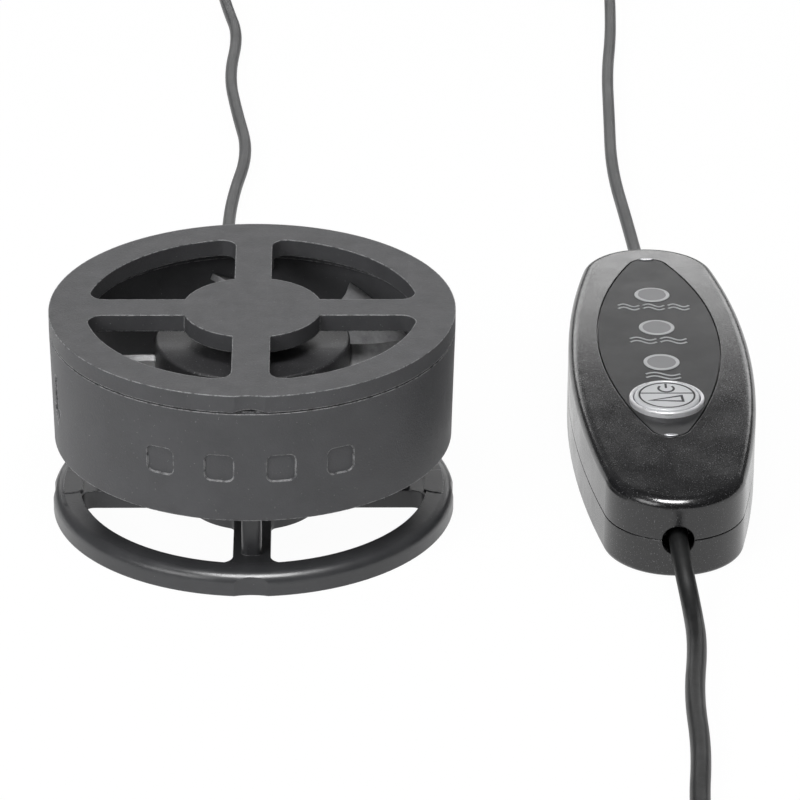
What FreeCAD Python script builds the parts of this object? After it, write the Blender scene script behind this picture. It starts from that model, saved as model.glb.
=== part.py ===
import FreeCAD, Part
import math
import os
from FreeCAD import Vector

# Wave maker pump: a flat axial-flow pump on an open ring stand, with an in-line three-speed
# controller and a USB plug on its cord.  Millimetres, +Z up, front towards -Y.
# The origin is the centre of the stand's ring on the surface that it stands on.

# ---- pump body -------------------------------------------------------------------------
body_radius = 40.0            # grille and top of the housing
body_base_radius = 39.4       # bottom of the housing, which tapers a little
duct_radius = 37.6            # smooth bore in which the impeller turns
housing_height = 23.35
arm_width = 7.3               # four arms, in line with the stand's spokes
arm_thickness = 3.2
motor_base_thickness = 2.2

# ---- grille ----------------------------------------------------------------------------
grille_thickness = 3.5
grille_rim_width = 7.2
grille_disc_radius = 13.75
grille_spoke_width = 7.33
grille_corner_radius = 3.0
skirt_height = 2.0            # locating skirt under the grille's rim
skirt_thickness = 1.7
skirt_clearance = 0.3
lug_width = 4.5               # four locating lugs below the skirt, under the spokes
lug_height = 3.0
rib_width = 1.2               # pairs of ribs in the duct wall that stop the lugs turning
finger_scallop_width = 6.8
finger_scallop_depth = 0.45
pry_slot_width = 6.4          # thin lens-shaped slot at the joint, under the scallop
pry_slot_height = 0.5
pry_slot_depth = 1.4
joint_groove_height = 0.3     # shadow line between the grille and the housing
joint_groove_depth = 0.8

# ---- stand -----------------------------------------------------------------------------
stand_ring_width = 5.3
stand_ring_height = 4.5
stand_ring_edge_radius = 2.1
stand_web_bottom = 0.5        # spokes and disc are clear of the ground
stand_web_top = 4.3
stand_disc_radius = 13.3
stand_spoke_width = 7.3
stand_corner_radius = 2.6
stand_scallop_width = 7.5
stand_scallop_depth = 0.6
stand_pad_radius = 5.0        # two low round pads on the ring, over the side spokes
stand_pad_distance = 37.4
stand_pad_rise = 0.12
post_circle_radius = 28.5
post_width = 3.9
post_length = 5.5
post_height = 11.85

# ---- screws through the posts ----------------------------------------------------------
screw_radius = 1.0
screw_hole_radius = 1.15
screw_head_radius = 1.9
screw_head_height = 1.5
screw_head_clearance = 0.2
screw_head_sink = 0.4
screw_grip = 2.8              # depth that the screws reach into the arms
recess_span = 1.2             # cross recess, in head radii and head heights
recess_slot = 0.28
recess_depth = 0.55

# ---- motor -----------------------------------------------------------------------------
shaft_radius = 1.5
shaft_running_clearance = 0.02
bearing_radius = 4.0
bearing_length = 3.0
bearing_tube_wall = 1.2
bearing_tube_length = 14.0
bearing_shelf = 2.6           # depth below the lower bearing for the clip and the cap
hub_radius = 19.25
hub_height = 16.6
hub_wall = 1.65
hub_edge_radius = 0.6
hub_base_gap = 1.55           # between the motor base and the turning hub
shaft_boss_wall = 2.2
yoke_thickness = 0.8
magnet_thickness = 2.15
magnet_height = 10.4
air_gap = 0.5
stator_height = 7.0
stator_pole_count = 4
stator_neck_width = 3.4
stator_shoe_thickness = 1.8
winding_thickness = 1.9
winding_overhang = 0.9
winding_edge_radius = 0.85
stator_centre_wall = 1.8
stator_shoe_gap = 8.0          # degrees from the middle of the slot to a shoe
insulator_thickness = 0.8
board_radius = 13.6
board_thickness = 1.0
board_standoff = 1.1
board_post_radius = 1.4
board_post_distance = 11.0
board_post_angles = (30, 150, 270)
# parts on the drive board: x, y, size along x, size along y, height
drive_board_boxes = ((9.6, 3.0, 3.9, 4.9, 1.2), (-10.2, 3.4, 2.0, 1.25, 0.8),
                     (-10.2, -1.4, 2.0, 1.25, 0.8), (3.0, 10.2, 3.0, 1.6, 1.1),
                     (-3.4, -10.4, 4.0, 1.4, 1.1))
stator_board_gap = 3.2         # room for the parts on the board
clip_thickness = 0.5
clip_radius = 2.6
clip_gap = 0.35               # between the clip and the lower bearing, and over the cap
cap_thickness = 0.9
washer_radius = 2.7
washer_thickness = 0.5
axial_play = 0.05
lead_width = 2.0
lead_height = 1.6

# ---- impeller blades -------------------------------------------------------------------
blade_count = 8
blade_thickness = 1.4
blade_tip_gap = 0.7
blade_bottom_gap = 1.6        # above the arms
blade_height = 12.85
blade_first_angle = 0.0
# distance from the axis, angle of the upper edge, angle of the lower edge, camber
blade_sections = ((18.4, 8.0, -30.0, 2.0), (28.0, 7.5, -28.0, 1.6), (38.0, 15.5, -24.0, 1.2))

# ---- moulded marks on the housing ------------------------------------------------------
mark_depth = 0.35
mark_size = 5.6
mark_corner_radius = 1.3
mark_count = 4
mark_pitch_angle = 17.3
mark_height = 27.4
arrow_angle = 196.0
arrow_top = 33.3
arrow_bottom = 22.7
arrow_head_top = 26.6
arrow_shaft_width = 1.8
arrow_head_width = 5.0

# ---- controller ------------------------------------------------------------------------
controller_x = 82.8
controller_y = 27.25
controller_length = 119.5
controller_width = 37.4
controller_end_radius = 14.0
controller_height = 18.0
controller_crown_radius = 1240.0
controller_edge_radius = 2.2
controller_foot_radius = 1.0
controller_wall = 1.8
controller_roof = 2.4
controller_floor = 1.8
seam_height = 8.0
seam_groove_height = 0.24
seam_groove_depth = 0.35
seam_lip_height = 1.0
seam_lip_clearance = 0.1
cord_hole_clearance = 1.25
panel_length = 85.5
panel_width = 24.7
panel_tip_radius = 4.0
panel_shift = 9.55            # panel centre behind the controller's centre
panel_thickness = 0.8
panel_clearance = 0.28
lamp_pitch = 16.7
lamp_count = 3
lamp_shift = 16.1             # middle lamp behind the controller's centre
lamp_radius = 3.15
lamp_stem_radius = 2.3
lamp_clearance = 0.05
lamp_rise = 0.08
seat_gap = 0.12                # under flat-bottomed pieces on the crowned recess
led_radius = 1.5
led_height = 2.4
led_foot_rim = 0.35
led_foot_height = 0.5
lamp_stem_gap = 0.2           # between a light pipe and its lamp
button_shift = -18.2
button_radius = 6.55
button_rise = 1.35
button_gap = 0.25             # all round, between the button and its bezel
button_flange_radius = 7.4
button_flange_thickness = 0.9
button_travel = 0.5
button_stem_radius = 1.8
button_groove_radius = 5.7
button_groove_width = 0.35
button_groove_depth = 0.2
button_edge_radius = 0.5
button_roof_gap = 0.15        # between the flange and the case's roof
button_divider_width = 0.3
button_divider_shift = 0.9
bezel_width = 0.75
bezel_rise = 1.05
board_level = 7.0
controller_board_thickness = 1.6
controller_board_length = 70.0
controller_board_width = 22.0
controller_standoff_radius = 1.8
# parts on the controller's board, from its centre: x, y, size along x, size along y, height
controller_board_boxes = ((-6.4, 4.0, 3.9, 4.9, 1.5), (6.6, 9.0, 4.2, 4.2, 2.2), (7.2, -4.0, 2.6, 4.4, 2.1),
                          (-7.4, -24.0, 3.2, 2.6, 1.2))
# round parts on the same board: x, y, radius, height
controller_board_cans = ((-7.2, 24.0, 2.5, 4.4), (7.4, 26.0, 2.0, 4.0))
small_part_count = 4           # in each of two rows of small parts
switch_size = 6.0
switch_height = 3.4
switch_plunger_radius = 1.75
switch_plunger_height = 0.9
switch_plunger_clearance = 0.15
case_boss_radius = 2.7
case_boss_x = 9.0
case_boss_y = 40.5
case_screw_radius = 1.1
case_screw_head_radius = 2.1
case_screw_head_height = 1.5
case_screw_sink = 0.5
clamp_length = 5.0
clamp_width = 13.0
clamp_height = 3.6
clamp_offset = 50.2           # clamp centres from the controller's centre
clamp_screw_offset = 4.5
clamp_screw_radius = 0.8
clamp_screw_head_radius = 1.5
clamp_screw_head_height = 1.0
clamp_screw_slot = 0.4

# ---- cords -----------------------------------------------------------------------------
pump_cord_diameter = 2.8
supply_cord_diameter = 3.8
gland_radius = 2.45
gland_length = 9.0
gland_shank_radius = 2.0
gland_height = 18.6
gland_ribs = 4
gland_rib_share = 0.68        # of each pitch, the rest is neck
gland_rib_slope = 0.15
gland_neck_depth = 0.45
gland_taper = 0.12            # radius lost from one rib to the next
gland_wall_sink = 0.35
coil_tie_width = 7.0
coil_tie_thickness = 0.5
pump_coil_centre = (36.0, 314.0)
supply_coil_centre = (56.5, -163.0)
coil_radius_in_diameters = 5.5     # mean radius of the turns
pump_cord_points = (
    (0.0, 38.0, 18.6), (0.0, 58.0, 18.6), (-0.8, 76.5, 8.4), (-4.0, 97.0, 1.4),
    (-7.6, 120.6, 1.4), (-7.0, 146.3, 1.4), (-3.4, 173.0, 1.4), (-6.5, 196.6, 1.4),
    (-8.8, 219.5, 1.4), (-6.9, 245.0, 1.4), (-9.8, 262.0, 1.4), (-12.0, 279.5, 1.4),
    (-6.0, 292.5, 1.4), (7.5, 297.2, 1.4), (20.0, 296.2, 1.6), (30.0, 295.8, 1.9),
)
pump_return_points = (
    (43.0, 297.2, 4.3), (53.5, 297.3, 3.0), (65.0, 298.0, 1.4), (80.5, 292.5, 1.4),
    (85.2, 277.0, 1.4), (84.6, 260.0, 1.4), (83.7, 242.5, 1.4), (81.8, 220.8, 1.4),
    (81.0, 195.0, 1.4), (79.9, 163.4, 1.4), (81.9, 133.6, 1.4), (83.2, 110.6, 1.5),
    (82.8, 96.5, 8.0), (82.8, 77.5, 8.0),
)
supply_cord_points = (
    (82.8, -23.0, 8.0), (82.8, -36.5, 8.0), (84.6, -49.0, 2.0), (84.8, -63.0, 1.9),
    (82.7, -82.5, 1.9), (82.9, -102.5, 1.9), (81.0, -122.5, 1.9), (81.2, -142.0, 2.0),
    (80.8, -156.0, 2.4),
)
supply_tail_points = (
    (50.0, -185.6, 5.4), (36.0, -186.0, 3.2), (24.0, -187.6, 2.4), (12.0, -187.2, 4.2),
    (0.0, -187.2, 4.2),
)

# ---- USB plug --------------------------------------------------------------------------
plug_x = 6.0                  # cord end of the plug, which points towards -X
plug_y = -187.2
plug_centre_height = 4.2
plug_relief_length = 11.0
plug_relief_radius = 3.4
plug_grip_length = 24.0
plug_grip_width = 15.6
plug_grip_height = 8.0
plug_grip_edge_radius = 1.8
usb_shell_length = 18.75
usb_shell_inside_grip = 6.0
usb_shell_width = 12.0
usb_shell_height = 4.5
usb_shell_wall = 0.3
usb_tongue_height = 1.8
usb_tongue_clearance = 0.05
usb_contact_width = 1.0
usb_contact_pitch = 2.25
usb_contact_thickness = 0.15
usb_long_contact = 7.4
usb_short_contact = 6.4
usb_contact_setback = 2.4
usb_window_size = (2.5, 2.3)   # two latch windows in the shell's upper side
usb_window_distance = 8.0
usb_window_offset = 2.9

# ---- levels that follow from the sizes -------------------------------------------------
housing_bottom = stand_web_top + post_height
housing_top = housing_bottom + housing_height
grille_top = housing_top + grille_thickness
arm_top = housing_bottom + arm_thickness
motor_base_top = housing_bottom + motor_base_thickness
hub_bottom = motor_base_top + hub_base_gap
hub_top = hub_bottom + hub_height
yoke_radius = hub_radius - hub_wall
magnet_radius = yoke_radius - yoke_thickness
magnet_bottom = hub_bottom + 0.7
bearing_tube_radius = bearing_radius + bearing_tube_wall
bearing_tube_top = housing_bottom + bearing_tube_length
lower_bearing_bottom = housing_bottom + bearing_shelf
upper_bearing_top = bearing_tube_top
stator_radius = magnet_radius - magnet_thickness - air_gap
board_bottom = motor_base_top + board_standoff
board_top = board_bottom + board_thickness
stator_bottom = board_top + stator_board_gap
boss_bottom = upper_bearing_top + washer_thickness + 2 * axial_play
blade_bottom = arm_top + blade_bottom_gap
impeller_radius = duct_radius - blade_tip_gap
coil_levels = coil_tie_thickness


# ---- small helpers ---------------------------------------------------------------------
def cylinder(radius, low, high, x=0.0, y=0.0):
    return Part.makeCylinder(radius, high - low, Vector(x, y, low))


def ring(outer, inner, low, high, x=0.0, y=0.0):
    return cylinder(outer, low, high, x, y).cut(cylinder(inner, low - 1, high + 1, x, y))


def box(x_low, x_high, y_low, y_high, low, high):
    size = (x_high - x_low, y_high - y_low, high - low)
    return Part.makeBox(*size, Vector(x_low, y_low, low))


def centred_box(x, y, size_x, size_y, low, high):
    return box(x - size_x / 2, x + size_x / 2, y - size_y / 2, y + size_y / 2, low, high)


def turned(shape, angle, centre=Vector(0, 0, 0)):
    copy = shape.copy()
    copy.rotate(centre, Vector(0, 0, 1), angle)
    return copy


def revolved(points, x=0.0, y=0.0):
    """Solid of revolution about a vertical axis from (radius, height) points."""
    corners = [Vector(radius, 0, height) for radius, height in points]
    outline = Part.Face(Part.makePolygon(corners + corners[:1]))
    solid = outline.revolve(Vector(0, 0, 0), Vector(0, 0, 1), 360)
    solid.translate(Vector(x, y, 0))
    return solid


def joined(shapes):
    return shapes[0].multiFuse(list(shapes[1:])).removeSplitter()


def upright_edges(shape):
    return [edge for edge in shape.Edges if abs(edge.tangentAt(edge.FirstParameter).z) > 0.99]


def rounded_block(x, y, size_x, size_y, low, high, radius):
    block = centred_box(x, y, size_x, size_y, low, high)
    return block.makeFillet(radius, upright_edges(block))


def oval(length, width, end_radius, inset=0.0):
    """Flat oval about the controller's long axis: two long side arcs and two tangent ends."""
    half_width = width / 2 - inset
    tip_radius = end_radius - inset
    end_centre = length / 2 - end_radius
    side_radius = (half_width ** 2 + end_centre ** 2 - tip_radius ** 2) / (2 * (half_width - tip_radius))
    side_centre = half_width - side_radius
    swing = math.atan2(end_centre, -side_centre)
    touch_x = side_centre + side_radius * math.cos(swing)
    touch_y = side_radius * math.sin(swing)
    corners = [Vector(touch_x, -touch_y, 0), Vector(touch_x, touch_y, 0),
               Vector(-touch_x, touch_y, 0), Vector(-touch_x, -touch_y, 0)]
    middles = [Vector(half_width, 0, 0), Vector(0, length / 2 - inset, 0),
               Vector(-half_width, 0, 0), Vector(0, -length / 2 + inset, 0)]
    arcs = []
    for number, middle in enumerate(middles):
        arcs.append(Part.Arc(corners[number], middle, corners[(number + 1) % 4]).toShape())
    return Part.Face(Part.Wire(arcs))


def oval_prism(length, width, end_radius, low, high, inset=0.0, shift=0.0):
    prism = oval(length, width, end_radius, inset).extrude(Vector(0, 0, high - low))
    prism.translate(Vector(controller_x, controller_y + shift, low))
    return prism


def case_prism(low, high, inset=0.0):
    return oval_prism(controller_length, controller_width, controller_end_radius, low, high, inset)


def under_crown(drop):
    """Everything below the controller's gently crowned top, lowered by drop."""
    reach = controller_length
    side = controller_x - controller_width
    ends = [Vector(side, controller_y - reach, crown_level(reach) - drop),
            Vector(side, controller_y + reach, crown_level(reach) - drop)]
    top = Part.Arc(ends[0], Vector(side, controller_y, controller_height - drop), ends[1]).toShape()
    under = [Vector(side, controller_y + reach, -2), Vector(side, controller_y - reach, -2)]
    base = Part.makePolygon([ends[1], under[0], under[1], ends[0]])
    outline = Part.Face(Part.Wire([top] + base.Edges))
    return outline.extrude(Vector(2 * controller_width, 0, 0))


def crown_level(shift):
    """Height of the controller's top at a distance from its centre."""
    sagitta = controller_crown_radius - math.sqrt(controller_crown_radius ** 2 - shift ** 2)
    return controller_height - sagitta


# ---- pump housing ----------------------------------------------------------------------
def quadrant_window(inner, outer, spoke_width, low, high, outer_corner, inner_corner):
    """Opening between two spokes, with rounded corners."""
    quarter = ring(outer, inner, low, high)
    quarter = quarter.common(box(spoke_width / 2, outer, spoke_width / 2, outer, low, high))
    middle = (inner + outer) / 2
    for radius, outside in ((outer_corner, True), (inner_corner, False)):
        if radius > 0:
            corners = []
            for edge in upright_edges(quarter):
                distance = math.hypot(edge.CenterOfMass.x, edge.CenterOfMass.y)
                if (distance > middle) == outside:
                    corners.append(edge)
            quarter = quarter.makeFillet(radius, corners)
    return quarter


def around(shape, count, first=0.0):
    return [turned(shape, first + 360 / count * number) for number in range(count)]


def housing_cone(inset, low, high):
    """Outside of the housing, drawn in by inset."""
    return Part.makeCone(body_base_radius - inset, body_radius - inset, high - low, Vector(0, 0, low))


def on_wall(cutter):
    """Keep only the part of a cutter that is in the outer skin of the housing."""
    return cutter.cut(housing_cone(mark_depth, housing_bottom, housing_top))


def front_marks():
    cutters = []
    low = mark_height - mark_size / 2
    for number in range(mark_count):
        angle = (number - (mark_count - 1) / 2) * mark_pitch_angle
        plate = centred_box(0, -body_radius, mark_size, 8.0, low, low + mark_size)
        sides = [edge for edge in plate.Edges if abs(edge.tangentAt(edge.FirstParameter).y) > 0.99]
        cutters.append(on_wall(turned(plate.makeFillet(mark_corner_radius, sides), angle)))
    return cutters


def flow_arrow():
    half_shaft = arrow_shaft_width / 2
    half_head = arrow_head_width / 2
    outline = [(half_shaft, arrow_top), (half_shaft, arrow_head_top), (half_head, arrow_head_top),
               (0, arrow_bottom), (-half_head, arrow_head_top), (-half_shaft, arrow_head_top),
               (-half_shaft, arrow_top)]
    corners = [Vector(body_radius - 4, across, height) for across, height in outline]
    prism = Part.Face(Part.makePolygon(corners + corners[:1])).extrude(Vector(8, 0, 0))
    return on_wall(turned(prism, arrow_angle))


def lug_angles():
    return [90 * number for number in range(4)]


def housing_shell():
    wall = housing_cone(0, housing_bottom, housing_top)
    wall = wall.cut(cylinder(duct_radius, housing_bottom - 1, housing_top + 1))
    arm = box(0, duct_radius + 0.5, -arm_width / 2, arm_width / 2, housing_bottom, arm_top)
    solids = [wall] + around(arm, 4)
    solids.append(cylinder(hub_radius, housing_bottom, motor_base_top))
    solids.append(cylinder(bearing_tube_radius, housing_bottom, bearing_tube_top))
    rib_low = housing_top - skirt_height - lug_height
    rib_offset = lug_width / 2 + skirt_clearance
    rib_depth = skirt_clearance + 0.6 * skirt_thickness
    rib = box(duct_radius - rib_depth, duct_radius + 0.5, rib_offset, rib_offset + rib_width,
              rib_low, housing_top - skirt_height - skirt_clearance)
    mirrored = rib.mirror(Vector(0, 0, 0), Vector(0, 1, 0))
    for angle in lug_angles():
        solids += [turned(rib, angle), turned(mirrored, angle)]
    for angle in board_post_angles:
        x = board_post_distance * math.cos(math.radians(angle))
        y = board_post_distance * math.sin(math.radians(angle))
        solids.append(cylinder(board_post_radius, housing_bottom, board_bottom, x, y))
    shell = joined(solids)
    cutters = [cylinder(bearing_radius, lower_bearing_bottom, bearing_tube_top + 1),
               cylinder(clip_radius + 0.3, housing_bottom - 1, lower_bearing_bottom + 0.1),
               cylinder(bearing_radius, housing_bottom - 1, housing_bottom + cap_thickness),
               motor_lead(),
               ring(body_radius + 1, body_radius - joint_groove_depth,
                    housing_top - joint_groove_height, housing_top + 1)]
    cutters.append(Part.makeCylinder(gland_shank_radius, 6, Vector(0, duct_radius - 1, gland_height),
                                     Vector(0, 1, 0)))
    pilot = cylinder(screw_radius, housing_bottom - 1, housing_bottom + screw_grip,
                     post_circle_radius)
    cutters += around(pilot, 4) + front_marks() + [flow_arrow()]
    return shell.cut(Part.makeCompound(cutters))


def cover_grille():
    plate = cylinder(body_radius, housing_top, grille_top)
    window = quadrant_window(grille_disc_radius, body_radius - grille_rim_width, grille_spoke_width,
                             housing_top - 1, grille_top + 1, grille_corner_radius, 0)
    skirt_radius = duct_radius - skirt_clearance
    skirt = ring(skirt_radius, skirt_radius - skirt_thickness, housing_top - skirt_height,
                 housing_top + 0.5)
    lug_ring = ring(skirt_radius, skirt_radius - skirt_thickness,
                    housing_top - skirt_height - lug_height, housing_top)
    lug_cut = box(0, body_radius, -lug_width / 2, lug_width / 2, 0, grille_top)
    lugs = [lug_ring.common(turned(lug_cut, angle)) for angle in lug_angles()]
    grille = joined([plate, skirt] + lugs)
    scallop_radius = (finger_scallop_width ** 2 / 4 + finger_scallop_depth ** 2) / (2 * finger_scallop_depth)
    scallop = cylinder(scallop_radius, housing_top - 1, grille_top + 1, 0,
                       -(body_radius - finger_scallop_depth + scallop_radius))
    slot_radius = (pry_slot_width ** 2 / 4 + pry_slot_height ** 2) / (2 * pry_slot_height)
    slot_start = Vector(0, -body_radius - 1, housing_top + pry_slot_height - slot_radius)
    slot = Part.makeCylinder(slot_radius, pry_slot_depth + 1, slot_start, Vector(0, 1, 0))
    return grille.cut(Part.makeCompound(around(window, 4) + [scallop, slot]))


# ---- stand and its screws --------------------------------------------------------------
def stand_ring():
    """Flat ring whose outer upper edge is a quarter round."""
    inner = body_radius - stand_ring_width
    edge = stand_ring_edge_radius
    slant = edge * (1 - math.sqrt(0.5))
    corner = Vector(inner, 0, 0)
    foot = Vector(body_radius, 0, 0)
    start = Vector(body_radius, 0, stand_ring_height - edge)
    middle = Vector(body_radius - slant, 0, stand_ring_height - slant)
    end = Vector(body_radius - edge, 0, stand_ring_height)
    inside = Vector(inner, 0, stand_ring_height)
    sides = Part.makePolygon([end, inside, corner, foot, start]).Edges
    outline = Part.Wire([Part.Arc(start, middle, end).toShape()] + sides)
    return Part.Face(outline).revolve(Vector(0, 0, 0), Vector(0, 0, 1), 360)


def base_stand():
    inner = body_radius - stand_ring_width
    web = cylinder(inner + 1.0, stand_web_bottom, stand_web_top)
    window = quadrant_window(stand_disc_radius, inner, stand_spoke_width, stand_web_bottom - 1,
                             stand_web_top + 1, stand_corner_radius, stand_corner_radius * 0.6)
    web = web.cut(Part.makeCompound(around(window, 4)))
    post = rounded_block(post_circle_radius, 0, post_length, post_width, stand_web_top - 0.5,
                         housing_bottom, post_width * 0.3)
    pad_top = stand_ring_height + stand_pad_rise
    pad = cylinder(stand_pad_radius, stand_web_bottom + 1.0, pad_top, stand_pad_distance)
    pad = pad.common(ring(body_radius - stand_ring_edge_radius, inner - 0.6, 0, pad_top))
    stand = joined([stand_ring(), web] + around(post, 4) + around(pad, 2))
    scallop_radius = (stand_scallop_width ** 2 / 4 + stand_scallop_depth ** 2) / (2 * stand_scallop_depth)
    scallop = cylinder(scallop_radius, -1, 10, body_radius - stand_scallop_depth + scallop_radius)
    hole = cylinder(screw_hole_radius, -1, housing_bottom + 1, post_circle_radius)
    seat_radius = screw_head_radius + screw_head_clearance
    seat = cylinder(seat_radius, -1, screw_seat_level(), post_circle_radius)
    cutters = around(scallop, 4) + around(hole, 4) + around(seat, 4)
    return stand.cut(Part.makeCompound(cutters))


def screw_seat_level():
    return stand_web_bottom + screw_head_sink + screw_head_height


def cross_recess(x, y, low, size, depth):
    """Cutter for a cross in a screw head that faces down."""
    slot = size * recess_slot
    slots = [centred_box(x, y, size, slot, low - 1, low + depth),
             centred_box(x, y, slot, size, low - 1, low + depth)]
    return joined(slots)


def screw(x, y, seat, tip, shank, head, head_height):
    """Screw with its head down at x, y: the head's upper face is at seat."""
    solid = joined([cylinder(head, seat - head_height, seat, x, y), cylinder(shank, seat, tip, x, y)])
    recess = cross_recess(x, y, seat - head_height, head * recess_span, head_height * recess_depth)
    return solid.cut(recess)


def stand_screws():
    one = screw(post_circle_radius, 0, screw_seat_level(), housing_bottom + screw_grip,
                screw_radius, screw_head_radius, screw_head_height)
    return Part.makeCompound(around(one, 4))


# ---- impeller and motor ----------------------------------------------------------------
def blade_outline(distance, upper_angle, lower_angle, camber):
    """Curved plate across the flow at one distance from the axis, thin at right angles to it."""
    upper = Vector(distance, distance * math.tan(math.radians(upper_angle)), blade_bottom + blade_height)
    lower = Vector(distance, distance * math.tan(math.radians(lower_angle)), blade_bottom)
    chord = upper - lower
    chord.normalize()
    outward = Vector(0, -chord.z, chord.y)
    if outward.z < 0:
        outward = outward * -1
    middle = (upper + lower) * 0.5 + outward * camber
    back = outward * -blade_thickness
    top_side = Part.Arc(lower, middle, upper).toShape()
    under_side = Part.Arc(upper + back, middle + back, lower + back).toShape()
    ends = [Part.LineSegment(upper, upper + back).toShape(),
            Part.LineSegment(lower + back, lower).toShape()]
    return Part.Wire([top_side, ends[0], under_side, ends[1]])


def blade():
    sections = [blade_outline(*section) for section in blade_sections]
    solid = Part.makeLoft(sections, True, False)
    return solid.common(cylinder(impeller_radius, blade_bottom - 4, hub_top))


def impeller():
    hub = cylinder(hub_radius, hub_bottom, hub_top)
    rim = [edge for edge in hub.Edges if edge.BoundBox.ZMin > hub_top - 0.01]
    hub = hub.makeFillet(hub_edge_radius, rim)
    hub = hub.fuse(around(blade(), blade_count, blade_first_angle))
    hollow = cylinder(yoke_radius, hub_bottom - 10, hub_top - hub_wall)
    boss = cylinder(shaft_radius + shaft_boss_wall, boss_bottom, hub_top - 0.5)
    solid = hub.cut(hollow).fuse(boss)
    solid = solid.cut(cylinder(shaft_radius, boss_bottom - 1, hub_top - 0.6))
    return solid.removeSplitter()


def rotor_yoke():
    top = hub_top - hub_wall
    cup = ring(yoke_radius, magnet_radius, hub_bottom + 0.4, top)
    roof = ring(yoke_radius, shaft_radius + shaft_boss_wall, top - yoke_thickness, top)
    return joined([cup, roof])


def rotor_magnet():
    return ring(magnet_radius, magnet_radius - magnet_thickness, magnet_bottom,
                magnet_bottom + magnet_height)


def clip_level():
    return lower_bearing_bottom - clip_gap - clip_thickness


def rotor_shaft():
    shaft = cylinder(shaft_radius, housing_bottom + cap_thickness + clip_gap, hub_top - 0.6)
    groove = ring(shaft_radius + 1, shaft_radius - 0.3, clip_level(), clip_level() + clip_thickness)
    return shaft.cut(groove)


def shaft_clip():
    clip = ring(clip_radius, shaft_radius - 0.3, clip_level(), clip_level() + clip_thickness)
    mouth = centred_box(0, -clip_radius, 1.6, 2 * clip_radius, 0, hub_top)
    return clip.cut(mouth)


def sleeve_bearing(low):
    return ring(bearing_radius, shaft_radius + shaft_running_clearance, low, low + bearing_length)


def thrust_washer():
    low = upper_bearing_top + axial_play
    return ring(washer_radius, shaft_radius + 0.05, low, low + washer_thickness)


def stator_core():
    low = stator_bottom
    high = low + stator_height
    centre = ring(bearing_tube_radius + stator_centre_wall, bearing_tube_radius, low, high)
    neck = box(bearing_tube_radius + stator_centre_wall / 2, stator_radius - 0.5, -stator_neck_width / 2,
               stator_neck_width / 2, low, high)
    shoe = ring(stator_radius, stator_radius - stator_shoe_thickness, low, high)
    half_shoe = math.radians(180 / stator_pole_count - stator_shoe_gap)
    wedge_reach = 2 * stator_radius
    corners = [Vector(0, 0, low), Vector(wedge_reach, -wedge_reach * math.tan(half_shoe), low),
               Vector(wedge_reach, wedge_reach * math.tan(half_shoe), low), Vector(0, 0, low)]
    wedge = Part.Face(Part.makePolygon(corners)).extrude(Vector(0, 0, stator_height))
    return joined([centre] + around(neck, stator_pole_count)
                  + around(shoe.common(wedge), stator_pole_count))


def neck_span():
    """Free length of a stator pole between the centre ring and the shoe."""
    shoe_inside = stator_radius - stator_shoe_thickness - 0.2
    reach = stator_neck_width / 2 + winding_thickness
    return bearing_tube_radius + 2.0, math.sqrt(shoe_inside ** 2 - reach ** 2)


def stator_insulator():
    outer = neck_span()[1]
    plates = []
    for low in (stator_bottom - insulator_thickness, stator_bottom + stator_height):
        high = low + insulator_thickness
        centre = ring(bearing_tube_radius + stator_centre_wall, bearing_tube_radius, low, high)
        arm = box(bearing_tube_radius + stator_centre_wall / 2, outer, -stator_neck_width / 2,
                  stator_neck_width / 2, low, high)
        plates.append(joined([centre] + around(arm, stator_pole_count)))
    return Part.makeCompound(plates)


def stator_windings():
    inner, outer = neck_span()
    low = stator_bottom - insulator_thickness
    high = stator_bottom + stator_height + insulator_thickness
    half = stator_neck_width / 2
    reach = half + winding_thickness
    bundle = box(inner, outer, -reach, reach, low - winding_overhang, high + winding_overhang)
    along = [edge for edge in bundle.Edges if abs(edge.tangentAt(edge.FirstParameter).x) > 0.99]
    bundle = bundle.makeFillet(winding_edge_radius, along)
    bundle = bundle.cut(box(inner - 1, outer + 1, -half, half, low, high))
    return Part.makeCompound(around(bundle, stator_pole_count))


def drive_board():
    return ring(board_radius, bearing_tube_radius + 0.2, board_bottom, board_top)


def drive_board_parts():
    parts = [centred_box(x, y, size_x, size_y, board_top, board_top + height)
             for x, y, size_x, size_y, height in drive_board_boxes]
    return Part.makeCompound(parts)


def bearing_cap():
    return cylinder(bearing_radius, housing_bottom, housing_bottom + cap_thickness)


def motor_lead():
    """Flat two-wire lead from under the drive board, past the rear screw, to the gland."""
    half = lead_width / 2
    low = gland_height - lead_height / 2
    high = gland_height + lead_height / 2
    jog_end = post_circle_radius + 2 * lead_width + screw_radius
    jog_start = jog_end - lead_width
    shift = screw_radius + half + 0.25
    run = box(shift - half, shift + half, board_radius - 2, jog_end, low, high)
    jog = box(-half, shift + half, jog_start, jog_end, low, high)
    end = box(-half, half, jog_start, pump_cord_points[0][1], low, high)
    return joined([run, jog, end])


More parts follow.
